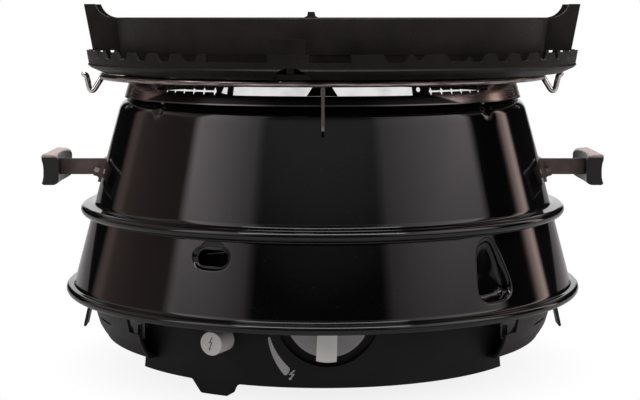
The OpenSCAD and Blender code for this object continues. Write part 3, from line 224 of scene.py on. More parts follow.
def moulded(name, colour, rough, grain=620.0, depth=0.05):
    """Moulded plastic with a fine spark-eroded grain and slight flow clouding."""
    f = Finish(name, colour, ior=1.36)
    fine = f.noise(grain, 3.0, 0.6)
    cloud = f.noise(16.0, 3.0, 0.55)
    lighter = tuple(min(1.0, c * 1.35 + 0.004) for c in colour)
    tone = f.blend(cloud, 0.35, 0.68, scaled(colour, 0.78), lighter)
    return f.feed(tone, f.spread(fine, 0.3, 0.7, rough - 0.06, rough + 0.08), fine, depth, 0.6)


def casting(name, light, dark, ior):
    """Coated casting: satin black with a fine pebbled skin and pale mineral specks."""
    f = Finish(name, light, ior=ior)
    pebble = f.noise(420.0, 4.0, 0.6)
    blotch = f.noise(30.0, 4.0, 0.6)
    speck = f.noise(1500.0, 1.0) > 0.72
    tone = f.blend(blotch, 0.35, 0.7, dark, light)
    tone = f.mix(speck * 0.22, tone, (0.16, 0.145, 0.135))
    return f.feed(tone, f.spread(pebble, 0.3, 0.7, 0.36, 0.52), pebble, 0.12, 0.55)


def brushed(name, colour, rough):
    """Sheet steel brushed round the axis, with heat or handling stains."""
    f = Finish(name, colour, metallic=1.0)
    streak = f.brushing()
    stain = f.noise(11.0, 4.0, 0.62)
    tone = f.blend(stain, 0.35, 0.68, colour, scaled(colour, 0.82))
    tone = f.blend(streak, 0.3, 0.75, tone, scaled(colour, 0.55), 0.32)
    rough = f.spread(streak, 0.25, 0.75, rough - 0.08, rough + 0.12)
    return f.feed(tone, rough, streak, 0.04, 0.35)


def windshield_steel():
    """Brushed windshield steel: brown-grey above and at its ends, with a painted reflection of the
    dark shell along the foot of its front and a painted highlight as a paler edge at the very
    bottom."""
    steel = (0.36, 0.315, 0.290)
    painted_reflection_middle = -9.0
    painted_highlight_top = 214.7 * MM
    f = Finish("dark_stainless", steel, metallic=1.0)
    x, y, z = f.axes()
    streak = f.brushing()
    stain = f.noise(11.0, 4.0, 0.62)
    tone = f.blend(stain, 0.35, 0.68, steel, (0.26, 0.215, 0.19))
    tone = f.blend(streak, 0.3, 0.75, tone, (0.2, 0.17, 0.16), 0.4)
    off_middle = (from_front(x, y) - painted_reflection_middle).math("ABSOLUTE")
    painted_reflection_top = f.spread(off_middle, 37.0, 52.0, 222.6 * MM, 212.0 * MM)
    # painted reflection: a near-black band along the foot of the front stands in for the dark shell
    # mirrored in the steel
    tone = f.blend(z - painted_reflection_top, -0.8 * MM, 0.6 * MM, (0.012, 0.0115, 0.0115), tone)
    # painted highlight: a paler edge along the very bottom
    tone = f.mix(z < painted_highlight_top, tone, (0.13, 0.125, 0.12))
    return f.feed(tone, f.spread(streak, 0.25, 0.75, 0.12, 0.32), streak, 0.04, 0.35)


def pan_steel():
    """Bright brushed pan. The inside of its wall carries painted light: a little emission glow for
    the light that a bright studio throws into it."""
    steel = (0.86, 0.855, 0.85)
    wall_from = 140.0 * MM
    foot_z = 197.3 * MM
    foot_r = 144.66 * MM
    lean = 0.0824
    f = Finish("bright_stainless", steel, metallic=0.6)
    x, y, z = f.axes()
    radius = from_axis(x, y)
    streak = f.brushing()
    tone = f.blend(streak, 0.3, 0.75, steel, (0.5, 0.49, 0.48), 0.2)
    inner = (radius - (z - foot_z) * lean) < foot_r
    # painted light: an emission glow on the inside of the wall, rising with height
    wall = f.spread(z, 199.0 * MM, 207.0 * MM, 0.03, 0.72) * (radius > wall_from) * inner
    wall = wall * f.spread(f.noise(70.0, 4.0, 0.6), 0.3, 0.6, 0.75, 1.0)
    f.put(f.shader.inputs["Emission Color"], f.join(wall, wall, wall))
    f.put(f.shader.inputs["Emission Strength"], 1.0)
    return f.feed(tone, f.spread(streak, 0.25, 0.75, 0.18, 0.34), streak, 0.04, 0.35)


def chrome():
    """Chromed wire: bright on the hooks, with painted shade: darker streaks on the ring and its
    pins.
    """
    bright = (0.80, 0.78, 0.76)
    ring_outside = 177.4 * MM
    ring_underside = 227.6 * MM
    f = Finish("chrome", bright, metallic=1.0)
    x, y, z = f.axes()
    drawn = f.noise(240.0, 3.0, 0.6)
    spot = f.noise(60.0, 3.0, 0.6)
    tone = f.blend(spot, 0.5, 0.75, bright, (0.50, 0.48, 0.47), 0.7)
    along = f.noise(1.0, 3.0, 0.6, f.round_place(9.0, 1100.0, 0.0))
    # painted shade: the ring under the plate is darker than the hooks of the same wire, in streaks
    # round it
    dull = f.blend(along, 0.38, 0.6, (0.50, 0.43, 0.42), (0.11, 0.085, 0.085))
    # painted shade: the pins below the ring are darker still
    dull = f.mix(z < ring_underside, dull, (0.25, 0.205, 0.20))
    # the hooks keep the bright chrome, the ring and pins take the painted shade
    tone = f.mix(from_axis(x, y) < ring_outside, tone, dull)
    return f.feed(tone, f.spread(drawn, 0.3, 0.7, 0.07, 0.19), drawn, 0.02, 0.3)


def grip_plastic():
    """Moulded grip: dark on its faces, with a painted highlight, paler and slightly pink, on its
    top.
    """
    f = Finish("grip_plastic", (0.028, 0.025, 0.025), ior=1.36)
    z = f.axes()[2]
    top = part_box("handle_grip_left")[1].z
    fine = f.noise(700.0, 3.0, 0.6)
    cloud = f.noise(16.0, 3.0, 0.55)
    tone = f.blend(cloud, 0.35, 0.68, (0.020, 0.018, 0.018), (0.034, 0.030, 0.030))
    # painted highlight: the top of the grip paler and pinkish
    tone = f.blend(z, top - 3.0 * MM, top - 1.0 * MM, tone, (0.60, 0.47, 0.45))
    return f.feed(tone, f.spread(fine, 0.3, 0.7, 0.34, 0.48), fine, 0.05, 0.6)


def plated(name, colour, rough, metallic=1.0):
    """Plated wire and fasteners: bright, with fine drawing lines and dull spots."""
    f = Finish(name, colour, metallic=metallic)
    drawn = f.noise(240.0, 3.0, 0.6)
    spot = f.noise(60.0, 3.0, 0.6)
    tone = f.blend(spot, 0.5, 0.75, colour, scaled(colour, 0.62), 0.7)
    return f.feed(tone, f.spread(drawn, 0.3, 0.7, rough, rough + 0.12), drawn, 0.02, 0.3)


def machined(name, colour, rough):
    """Turned or drawn brass and copper: slight tarnish and tool lines."""
    f = Finish(name, colour, metallic=1.0)
    tarnish = f.noise(34.0, 4.0, 0.6)
    tone = f.blend(tarnish, 0.38, 0.7, colour, scaled(colour, 0.6))
    return f.feed(tone, f.spread(tarnish, 0.3, 0.7, rough, rough + 0.16), f.noise(700.0), 0.02, 0.3)


def burnt_iron():
    """Cast burner cap: grey-black with brown heat stains and a sand-cast skin."""
    f = Finish("burnt_iron", (0.05, 0.046, 0.043), metallic=0.4)
    sand = f.noise(520.0, 5.0, 0.65)
    heat = f.noise(28.0, 4.0, 0.6)
    tone = f.blend(heat, 0.4, 0.68, (0.045, 0.043, 0.041), (0.11, 0.07, 0.045))
    return f.feed(tone, f.spread(sand, 0.3, 0.7, 0.5, 0.75), sand, 0.2, 0.7)


def painted_strap():
    """Bead-blasted strap: brown-grey with lighter worn patches and a painted highlight on its top
    edge.
    """
    f = Finish("strap_metal", (0.09, 0.068, 0.064), metallic=0.55)
    z = f.axes()[2]
    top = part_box("handle_strap_left")[1].z
    blast = f.noise(800.0, 3.0, 0.6)
    wear = f.noise(45.0, 4.0, 0.6)
    tone = f.blend(wear, 0.42, 0.68, (0.15, 0.112, 0.105), (0.23, 0.185, 0.176))
    # painted highlight: a bright line along the strap's top edge
    tone = f.mix(z > top - 0.5 * MM, tone, (0.62, 0.56, 0.54))
    return f.feed(tone, f.spread(blast, 0.3, 0.7, 0.34, 0.5), blast, 0.06, 0.5)


def knob_plastic():
    """Grey knob: a mid-grey disc, with the grip bar in front of it in a lighter grey."""
    bar_depth = 8.5 * MM
    f = Finish("knob_plastic", (0.16, 0.16, 0.16), ior=1.46)
    bar = f.axes()[1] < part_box("knob")[0].y + bar_depth
    grain = f.noise(650.0, 3.0, 0.6)
    cloud = f.noise(40.0, 3.0, 0.6)
    disc = f.blend(cloud, 0.35, 0.7, (0.37, 0.37, 0.372), (0.43, 0.428, 0.43))
    grip = f.blend(cloud, 0.35, 0.7, (0.90, 0.91, 0.87), (0.95, 0.96, 0.92))
    return f.feed(f.mix(bar, disc, grip), f.spread(grain, 0.3, 0.7, 0.3, 0.42), grain, 0.04, 0.5)


def print_ink(name, colour):
    """Pad-printed ink: flat, slightly uneven in cover."""
    f = Finish(name, colour, ior=1.45)
    cover = f.noise(1400.0, 2.0, 0.6)
    tone = f.blend(cover, 0.35, 0.6, colour, scaled(colour, 0.7), 0.5)
    return f.feed(tone, f.spread(cover, 0.3, 0.7, 0.45, 0.6))


def glaze():
    """Glazed ceramic of the electrode, with soot stains."""
    white = (0.8, 0.79, 0.76)
    f = Finish("glazed_ceramic", white, ior=1.6)
    soot = f.noise(90.0, 4.0, 0.6)
    tone = f.blend(soot, 0.5, 0.75, white, (0.35, 0.3, 0.26), 0.8)
    return f.feed(tone, f.spread(soot, 0.3, 0.7, 0.12, 0.35))


finishes = {
    "gloss_enamel": enamel(),
    "satin_enamel": moulded("satin_enamel", (0.020, 0.020, 0.021), 0.36, 500.0),
    "bowl_plastic": moulded("bowl_plastic", (0.018, 0.0165, 0.016), 0.42),
    "panel_plastic": moulded("panel_plastic", (0.0050, 0.0053, 0.0058), 0.55, 900.0, 0.03),
    "grip_plastic": grip_plastic(),
    "foot_rubber": moulded("foot_rubber", (0.018, 0.018, 0.018), 0.75),
    "lead_sleeve": moulded("lead_sleeve", (0.30, 0.022, 0.018), 0.45),
    "button_plastic": moulded("button_plastic", (0.92, 0.90, 0.84), 0.36, 500.0, 0.03),
    "knob_plastic": knob_plastic(),
    "coated_casting": casting("coated_casting", (0.0240, 0.0178, 0.0178),
                              (0.0115, 0.0083, 0.0083), 1.33),
    "plate_casting": casting("plate_casting", (0.0120, 0.0082, 0.0082),
                             (0.0055, 0.0036, 0.0036), 1.29),
    "dark_stainless": windshield_steel(),
    "bright_stainless": pan_steel(),
    "burner_stainless": brushed("burner_stainless", (0.52, 0.50, 0.48), 0.32),
    "cast_aluminium": plated("cast_aluminium", (0.50, 0.49, 0.48), 0.42),
    "chrome": chrome(),
    "zinc": plated("zinc", (0.56, 0.55, 0.55), 0.28),
    "stay_zinc": plated("stay_zinc", (0.86, 0.86, 0.86), 0.45, 0.1),
    "bolt_zinc": plated("bolt_zinc", (0.17, 0.14, 0.13), 0.28),
    "strap_metal": painted_strap(),
    "brass": machined("brass", (0.72, 0.52, 0.22), 0.22),
    "copper": machined("copper", (0.70, 0.36, 0.20), 0.25),
    "burnt_iron": burnt_iron(),
    "glazed_ceramic": glaze(),
}

worn_by = {
    "gloss_enamel": ["shell"],
    "satin_enamel": ["base_pan", "panel_screws", "latch_left", "latch_right"],
    "bowl_plastic": ["base_bowl", "feet", "igniter_body", "igniter_nut"],
    "panel_plastic": ["control_panel"],
    "grip_plastic": ["handle_grip_left", "handle_grip_right"],
    "foot_rubber": ["foot_tips"],
    "lead_sleeve": ["ignition_lead"],
    "button_plastic": ["igniter_button"],
    "knob_plastic": ["knob"],
    "coated_casting": ["griddle_tray"],
    "plate_casting": ["grill_plate"],
    "dark_stainless": ["windshield"],
    "bright_stainless": ["drip_pan"],
    "burner_stainless": ["mixing_tube", "burner_stand", "windshield_rivets"],
    "cast_aluminium": ["burner_bowl"],
    "chrome": ["pan_support"],
    "zinc": ["foot_screws", "bowl_screws", "latch_pins", "igniter_spring"],
    "stay_zinc": ["side_stays"],
    "bolt_zinc": ["handle_bolts", "handle_nuts"],
    "strap_metal": ["handle_strap_left", "handle_strap_right"],
    "brass": ["valve_spindle", "valve_body", "gas_jet", "gas_inlet"],
    "copper": ["gas_pipe"],
    "burnt_iron": ["burner_cap"],
    "glazed_ceramic": ["electrode"],
}

for finish, nodes in worn_by.items():
    for name in nodes:
        for slot in frame["nodes"][name].material_slots:
            slot.material = finishes[finish]


def new_piece(name, vertices, faces, smooth=False):
    """A mesh object at the origin, from its vertices in metres and its faces."""
    mesh = bpy.data.meshes.new(name)
    mesh.from_pydata(np.asarray(vertices).tolist(), [], faces)
    if smooth:
        mesh.shade_smooth()
    piece = bpy.data.objects.new(name, mesh)
    bpy.context.scene.collection.objects.link(piece)
    return piece


def surface(name, points, closed=False):
    """A grid of points (u, v, 3) joined in quads. Closed means both ways, with the ends met."""
    rows, columns = points.shape[:2]
    open_by = 0 if closed else 1
    a, b = np.meshgrid(np.arange(rows - open_by), np.arange(columns - open_by), indexing="ij")
    a, b = a.ravel(), b.ravel()
    next_a, next_b = (a + 1) % rows, (b + 1) % columns
    corners = [(a, b), (next_a, b), (next_a, next_b), (a, next_b)]
    faces = np.stack([i * columns + j for i, j in corners], 1)
    return new_piece(name, points.reshape(-1, 3), faces.tolist())


def finish_piece(piece, body, finish):
    """Gives a new piece its finish and the body it rides on."""
    piece.data.materials.append(finish)
    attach(piece, body)
    return piece


def arc(centre, radius, start, end, count):
    """Points of an arc in a profile plane: centre plus radius times (cos, sin), in degrees."""
    turn = np.radians(np.linspace(start, end, count))
    return [(centre[0] + radius * math.cos(t), centre[1] + radius * math.sin(t)) for t in turn]


def rounded(points, samples=12, closed=True):
    """A smooth curve through points: each span is the cubic whose slopes at its ends are those of
    the lines between its neighbours (Catmull-Rom)."""
    p = np.array(points, dtype=float)
    if closed:
        before, after, later = np.roll(p, 1, 0), np.roll(p, -1, 0), np.roll(p, -2, 0)
    else:
        before, after = p[[0, *range(len(p) - 2)]], p[1:]
        later = p[[*range(2, len(p)), -1]]
        p = p[:-1]
    u = np.linspace(0.0, 1.0, samples, endpoint=False)[None, :, None]
    a, b, c, d = before[:, None], p[:, None], after[:, None], later[:, None]
    curve = b + 0.5 * u * (c - a + u * (2 * a - 5 * b + 4 * c - d + u * (3 * (b - c) + d - a)))
    curve = curve.reshape(-1, p.shape[1])
    return curve if closed else np.vstack([curve, after[-1]])


# The shell in millimetres and degrees. Its profile points are (radius, height), each bead is
# (centre, radius, size of the hollow beside it), and each stretch of cone is (lowest, highest)
CONE_FOOT_R = 200.0
CONE_FOOT_Z = 61.0
CONE_SLOPE = 15.1
CONE_LEAN = math.radians(CONE_SLOPE)
FOOT_LIP = [(190.0, 61.0), (192.0, 61.0), (196.0, 61.0)]
FOOT_BEAD = ((201.156, 64.5), 3.5, 1.2)
MIDDLE_BEAD = ((188.227, 126.5), 4.0, 1.3)
LOWER_CONE = (70.5, 120.0)
UPPER_CONE = (134.0, 200.0)
SHOULDER = (149.661, 201.5)
SHOULDER_R = 12.0
TOP_EDGE = [(148.4, 213.5), (147.3, 213.5)]
SHELL_WALL = 1.2
COLUMNS = 480

# Dents in the shoulder: where they lie, how deep, and the share of it that goes inwards and down
# alike; how long and tall they are, and the arc length of one degree there
DENT_AZIMUTH = 48.6
DENT_Z = 207.5
DENT_DEPTH = 1.6
DENT_SLANT = 0.7
DENT_LONG = 4.6
DENT_TALL = 3.6
DENT_FROM_Z = 200.0
DEGREE_ARC = 2.8

# Flats behind the handles: height of the handles, how far the flats' middle lies above it, their
# half sizes, and how deep they go into the wall
PAD_Z = 152.1
PAD_ABOVE = 1.0
PAD_HALF_WIDE = 17.0
PAD_HALF_TALL = 14.0
PAD_DEPTH = 0.55


def cone_r(z):
    """Radius of the shell's cone at height z."""
    return CONE_FOOT_R - (z - CONE_FOOT_Z) * math.tan(CONE_LEAN)


def on_cone(azimuth, z, depth):
    """Points pressed inwards from the cone by depth, square to its wall. Azimuths run from the
    front."""
    a = np.radians(azimuth)
    radius = cone_r(z) - depth * math.cos(CONE_LEAN)
    return np.stack([radius * np.sin(a), -radius * np.cos(a), z - depth * math.sin(CONE_LEAN)], -1)


def skin_profile():
    """The shell's outer line from the lip under its foot to the edge of its top, as (radius,
    height). Each bead is a half circle with small hollows where it meets the cone."""

    def hollow(z, size, way):
        """The hollow beside a bead's edge at height z, from the bead up or down to the cone."""
        reach = way * size
        return [(cone_r(z) + size, z), (cone_r(z) + size * 0.35, z + reach * 0.3),
                (cone_r(z + reach), z + reach)]

    def bead(centre, radius, size, lower):
        low, high = centre[1] - radius, centre[1] + radius
        below = hollow(low, size, -1)[::-1] if lower else []
        return below + arc(centre, radius, -90, 90, 15) + hollow(high, size, 1)

    def cone(heights, count):
        return [(cone_r(z), z) for z in np.linspace(*heights, count)]

    return np.array(FOOT_LIP + bead(*FOOT_BEAD, False) + cone(LOWER_CONE, 21)
                    + bead(*MIDDLE_BEAD, True) + cone(UPPER_CONE, 26)
                    + arc(SHOULDER, SHOULDER_R, CONE_SLOPE, 90.0, 14) + TOP_EDGE)


def pressed_patch(border, centre, outline, inner, steps):
    """Rings from a border of the grid to a pressed form. border holds (arc length, height) from the
    centre, which is (azimuth, height). A ring lies at outer + share * (inner - outer) - inset along
    each ray from the centre, where outer and inner are the two outlines' radii on that ray. It is
    pressed in by depth, less tilt for each millimetre above the centre. A step is (share, inset,
    depth, tilt)."""
    angle = np.arctan2(border[:, 1], border[:, 0])

    def reach(shape):
        """Radii of an outline on the rays of the border."""
        line = rounded(shape)
        turn = np.arctan2(line[:, 1], line[:, 0])
        order = np.argsort(turn)
        radii = np.hypot(line[:, 0], line[:, 1])[order]
        return np.interp(angle, turn[order], radii, period=2 * math.pi)

    def ring(radius, depth, tilt):
        """A ring of the given radii, laid on the cone and pressed in."""
        up = radius * np.sin(angle)
        z = centre[1] + up
        azimuth = centre[0] + np.degrees(radius * np.cos(angle) / cone_r(z))
        return on_cone(azimuth, z, np.maximum(depth - tilt * up, 0.0))

    outer = reach(outline)
    target = reach(inner)
    edge = np.hypot(border[:, 0], border[:, 1])
    rings = [ring(edge + share * (outer - edge), 0.0, 0.0) for share in (0.1, 0.5, 0.8, 0.95)]
    for share, inset, depth, tilt in steps:
        rings.append(ring(outer + share * (target - outer) - inset, depth, tilt))
    return np.array(rings)


# Outlines as (arc length, height) from their centres, read off the photograph, in millimetres.
# Each centre is (azimuth, height)
PORT_CENTRE = (-24.75, 110.0)
PORT_EYE = [(-15.3, 0.0), (-13.0, -5.9), (-7.8, -9.0), (1.2, -9.9), (9.6, -8.7), (14.6, -4.7),
            (15.6, 0.9), (13.4, 5.2), (9.0, 8.4), (7.0, 10.2), (0.0, 10.5), (-6.2, 10.2),
            (-8.6, 7.7), (-13.4, 4.0)]
PORT_HOLE = [(-11.4, -0.6), (-10.2, -4.4), (-6.2, -6.1), (1.0, -6.1), (8.2, -6.1), (12.0, -4.2),
             (13.2, -0.4), (12.0, 3.4), (8.2, 5.2), (1.0, 5.2), (-6.2, 5.2), (-10.2, 3.2)]
PORT_STEPS = [(0.0, 0.0, 0.0, 0), (0.12, 0, 0.12, 0), (0.28, 0, 0.5, 0), (0.46, 0, 1.2, 0),
              (0.62, 0, 1.85, 0), (0.76, 0, 2.1, 0), (0.87, 0, 1.85, 0), (0.95, 0, 1.7, 0),
              (1.0, 0.15, 1.9, 0), (1.0, 0.4, 2.4, 0), (1.0, 0.5, 4.0, 0)]
HOSE_CENTRE = (39.0, 96.0)
HOSE_RIM = [(-12.3, 12.7), (-14.6, 2.6), (-16.0, -9.7), (-14.9, -17.4), (-8.7, -22.0),
            (3.3, -22.1), (12.3, -20.4), (17.9, -16.1), (18.7, -9.3), (16.0, 0.9), (11.6, 12.5),
            (6.6, 21.5), (2.0, 24.3), (-5.0, 22.8), (-10.0, 18.1)]
HOSE_STEPS = [(0, 0.0, 0.0, 0), (0, 0.7, 0.1, 0), (0, 1.4, 0.4, 0), (0, 2.1, 1.0, 0.01),
              (0, 2.7, 1.9, 0.03), (0, 3.1, 3.1, 0.05), (0, 3.5, 4.5, 0.08), (0, 4.0, 5.7, 0.11),
              (0, 4.8, 6.5, 0.13), (0, 6.0, 6.9, 0.14), (0, 8.0, 7.0, 0.14)]

# The pressed forms: centre, half width of its patch in degrees, outlines, steps, lowest height of
# the patch, and whether the form is closed at its bottom
PRESSED = [(PORT_CENTRE, 7.5, PORT_EYE, PORT_HOLE, PORT_STEPS, 95.0, False),
           (HOSE_CENTRE, 9.0, HOSE_RIM, HOSE_RIM, HOSE_STEPS, 70.0, True)]


def dent_shoulder(points, azimuth):
    """Presses two dents into the shoulder, inwards and down, each by DENT_SLANT * DENT_DEPTH *
    exp(-(along / DENT_LONG)^2 - (up / DENT_TALL)^2), at along and up from the dent's middle."""
    a = np.radians(azimuth)
    z = points[..., 2]
    along = (np.abs(azimuth) - DENT_AZIMUTH) * DEGREE_ARC
    bell = np.exp(-((along / DENT_LONG) ** 2) - ((z - DENT_Z) / DENT_TALL) ** 2)
    push = DENT_SLANT * DENT_DEPTH * bell * (z > DENT_FROM_Z)
    points[..., 0] -= push * np.sin(a)
    points[..., 1] += push * np.cos(a)
    points[..., 2] -= push


def flatten_pads(points):
    """Flats behind the handles: nothing there stands further out than a plane along the cone, and
    PAD_DEPTH inside it."""
    x, y, z = points[..., 0], points[..., 1], points[..., 2]
    out = (np.abs(x) - cone_r(PAD_Z)) * math.cos(CONE_LEAN) + (z - PAD_Z) * math.sin(CONE_LEAN)
    inside = (np.abs(y) < PAD_HALF_WIDE) & (np.abs(z - PAD_Z - PAD_ABOVE) < PAD_HALF_TALL)
    back = np.where(inside, np.maximum(out + PAD_DEPTH, 0.0), 0.0)
    points[..., 0] -= np.sign(x) * back * math.cos(CONE_LEAN)
    points[..., 2] -= back * math.sin(CONE_LEAN)


def shell_skin():
    """The shell: its outer line turned round the axis, (r sin a, -r cos a, z), with dents, flats,
    a port and a hose recess. The last two are patches that share the grid's vertices."""
    line = skin_profile()
    rows = len(line)
    step = 360.0 / COLUMNS
    azimuth = (np.arange(COLUMNS) * step - 180.0)[None, :]
    a = np.radians(azimuth)
    radius, height = line[:, 0][:, None], line[:, 1][:, None]
    points = np.stack([radius * np.sin(a), -radius * np.cos(a), height + 0.0 * a], -1)
    dent_shoulder(points, azimuth)
    flatten_pads(points)

    def row_at(z, slack):
        """The row nearest to height z, of those that stand out from the cone by less than slack."""
        proud = line[:, 0] > cone_r(z) + slack
        return int(np.argmin(np.abs(line[:, 1] - z) + 9.0 * proud))

    index = np.arange(rows * COLUMNS).reshape(rows, COLUMNS)
    keep = np.ones((rows - 1, COLUMNS), dtype=bool)
    vertices = [points.reshape(-1, 3)]
    faces = []
    total = rows * COLUMNS
    above_foot_bead = row_at(70.5, 0.1)
    high = row_at(121.2, 0.6)
    for centre, half, outline, inner, steps, floor_z, closed in PRESSED:
        low = max(above_foot_bead, int(np.argmin(np.abs(line[:, 1] - floor_z))))
        left = int(round((centre[0] - half + 180.0) / step))
        right = int(round((centre[0] + half + 180.0) / step))
        keep[low:high, left:right] = False
        loop = np.concatenate([index[low, left:right], index[low:high, right],
                               index[high, right:left:-1], index[high:low:-1, left]])
        place = vertices[0][loop]
        along = np.arctan2(place[:, 0], -place[:, 1]) - math.radians(centre[0])
        border = np.stack([along * np.hypot(place[:, 0], place[:, 1]), place[:, 2] - centre[1]], -1)
        rings = pressed_patch(border, centre, outline, inner, steps)
        fresh = total + np.arange(rings.shape[0] * rings.shape[1]).reshape(rings.shape[:2])
        total += fresh.size
        vertices.append(rings.reshape(-1, 3))
        numbers = np.vstack([loop, fresh])
        here, there = numbers[:-1], numbers[1:]
        quads = np.stack([here, np.roll(here, -1, 1), np.roll(there, -1, 1), there], -1)
        faces += quads.reshape(-1, 4).tolist()
        if closed:
            vertices.append(rings[-1].mean(0)[None])
            last = numbers[-1]
            faces += [[int(p), int(q), total] for p, q in zip(last, np.roll(last, -1))]
            total += 1
    up, side = np.nonzero(keep)
    beyond = (side + 1) % COLUMNS
    corners = [(up, side), (up, beyond), (up + 1, beyond), (up + 1, side)]
    faces += np.stack([index[corner] for corner in corners], -1).tolist()

    used = np.unique([number for face in faces for number in face])
    renamed = np.zeros(total, dtype=int)
    renamed[used] = np.arange(len(used))
    faces = [[int(renamed[number]) for number in face] for face in faces]
    piece = new_piece("shell_skin", np.vstack(vertices)[used] * MM, faces, True)
    wall = piece.modifiers.new("wall", "SOLIDIFY")
    wall.thickness = SHELL_WALL * MM
    wall.offset = -1.0
    return piece


skin = finish_piece(shell_skin(), "body", finishes["gloss_enamel"])
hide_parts("shell")


def wires(name, runs, sides=20):
    """Round wires in one mesh. Each run is (path, radius, normal of the path's plane, closed): a
    circle carried along the path and square to it, with round ends where the path is open."""
    vertices, faces = [], []
    total = 0
    turn = np.linspace(0.0, 2.0 * math.pi, sides, endpoint=False)
    lift = np.radians([80.0, 55.0, 28.0])
    for path, radius, normal, closed in runs:
        p = np.array(path, dtype=float)
        if closed:
            ahead = np.roll(p, -1, 0) - np.roll(p, 1, 0)
        else:
            ahead = np.gradient(p, axis=0)
        ahead /= np.linalg.norm(ahead, axis=1)[:, None]
        size = np.full(len(p), radius)
        if not closed:
            front = p[0] - ahead[0] * radius * np.sin(lift)[:, None]
            back = p[-1] + ahead[-1] * radius * np.sin(lift[::-1])[:, None]
            p = np.vstack([front, p, back])
            ahead = np.vstack([ahead[:1]] * 3 + [ahead] + [ahead[-1:]] * 3)
            size = np.concatenate([radius * np.cos(lift), size, radius * np.cos(lift[::-1])])
        up = np.array(normal, dtype=float)
        side = np.cross(up, ahead)
        ring = np.cos(turn)[None, :, None] * side[:, None] + np.sin(turn)[None, :, None] * up
        points = p[:, None] + size[:, None, None] * ring
        index = total + np.arange(len(p) * sides).reshape(len(p), sides)
        total += index.size
        after = np.roll(index, -1, 0) if closed else index[1:]
        here = index if closed else index[:-1]
        quads = np.stack([here, after, np.roll(after, -1, 1), np.roll(here, -1, 1)], -1)
        vertices.append(points.reshape(-1, 3))
        faces += quads.reshape(-1, 4).tolist()
        if not closed:
            faces += [index[0].tolist(), index[-1][::-1].tolist()]
    return new_piece(name, np.vstack(vertices) * MM, faces, True)


# Sizes of the pan support's wires, in millimetres. The hook's path is (distance from the axis,
# height)
RING_R = 173.99
RING_Z = 230.4
RING_WIRE = 2.5
ARM_WIRE = 2.3
EYE_R = 36.0
PIN_WIRE = 1.3
PIN_LENGTH = 33.0
HOOK = [(174.0, 230.4), (177.2, 226.2), (181.2, 219.9), (183.1, 217.9), (185.0, 218.1),
        (186.2, 220.6), (187.2, 225.2), (188.4, 229.4), (190.2, 230.7)]


def circle(radius, z, count):
    """Points of a level circle round the axis."""
    a = np.linspace(0.0, 2.0 * math.pi, count, endpoint=False)
    return np.stack([radius * np.cos(a), radius * np.sin(a), 0.0 * a + z], -1)


def at_azimuth(azimuth, radius, z):
    """Points at one azimuth from the front, at the given radii and heights."""
    a = math.radians(azimuth)
    return np.stack(np.broadcast_arrays(radius * math.sin(a), -radius * math.cos(a), z), -1)


def pan_support():
    """The wire support: a ring, two bent hooks, three arms to a small ring, three pins below."""
    upright = (0, 0, 1)
    runs = [(circle(RING_R, RING_Z, 180), RING_WIRE, upright, True),
            (circle(EYE_R, RING_Z, 60), RING_WIRE, upright, True)]
    bend = rounded(HOOK, 6, False)
    for side in (-1.0, 1.0):
        path = np.stack([side * bend[:, 0], 0.0 * bend[:, 0], bend[:, 1]], -1)
        runs.append((path, ARM_WIRE, (0, -side, 0), False))
    reach = np.linspace(EYE_R, RING_R, 24)
    for azimuth in (60.0, 180.0, 300.0):
        runs.append((at_azimuth(azimuth, reach, RING_Z), ARM_WIRE, upright, False))
    drop = np.linspace(RING_Z, RING_Z - PIN_LENGTH + PIN_WIRE, 12)
    for azimuth in (0.0, 120.0, 240.0):
        runs.append((at_azimuth(azimuth, RING_R, drop), PIN_WIRE, (1, 0, 0), False))
    return wires("pan_support_wires", runs)


support = finish_piece(pan_support(), "pan_support", finishes["chrome"])
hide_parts("pan_support")


def turned(name, profile, centre_x, count=240):
    """A closed profile of (radius, height) turned round an upright axis at centre_x:
    (centre_x + r cos a, r sin a, z)."""
    a = np.linspace(0.0, 2.0 * math.pi, count, endpoint=False)[None, :]
    radius, height = np.array(profile).T[:, :, None]
    points = np.stack([centre_x + radius * np.cos(a), radius * np.sin(a), height + 0.0 * a], -1)
    return surface(name, points * MM, True)


def slab(name, outline, middle, thick):
    """An outline of (x, z) carried straight along Y, from middle - thick / 2 to middle + thick / 2,
    and closed at both ends."""
    points = np.array(outline)
    count = len(points)
    near = np.stack([points[:, 0], np.full(count, middle - thick / 2), points[:, 1]], -1)
    far = near + (0.0, thick, 0.0)
    faces = [[i, i + count, (i + 1) % count + count, (i + 1) % count] for i in range(count)]
    faces += [list(range(count)), list(range(2 * count - 1, count - 1, -1))]
    return new_piece(name, np.vstack([near, far]) * MM, faces)


# The tray in millimetres: its middle, how far its ears reach out and lean, and its foot's height.
# A low skirt goes under its floor and webs under its ears
TRAY_X = 7.5
EAR_OUT = 24.3
EAR_LEAN_OUT = 6.53
TRAY_FOOT = 6.8
tray_low, tray_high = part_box("griddle_tray")
TRAY_FLOOR_Z = tray_low.z / MM + TRAY_FOOT
TRAY_R = tray_high.x / MM - TRAY_X - EAR_OUT
EAR_FOOT_R = TRAY_R + EAR_OUT - EAR_LEAN_OUT
SKIRT_TOP = TRAY_FLOOR_Z + 0.6
SKIRT_FOOT = TRAY_FLOOR_Z - TRAY_FOOT + 0.9
SKIRT = [(TRAY_R - 3.2, SKIRT_TOP), (TRAY_R - 6.4, SKIRT_TOP), (TRAY_R - 6.8, SKIRT_FOOT),
         (TRAY_R - 4.2, SKIRT_FOOT)]
WEB_FOOT = TRAY_FLOOR_Z + 0.2
WEB_TOP = TRAY_FLOOR_Z + 7.6
WEB = [(TRAY_R - 4.6, WEB_FOOT), (EAR_FOOT_R - 4.0, WEB_FOOT), (EAR_FOOT_R - 3.0, WEB_TOP),
       (TRAY_R - 3.8, WEB_TOP)]
WEB_THICK = 2.8
WEB_Y = 15.5

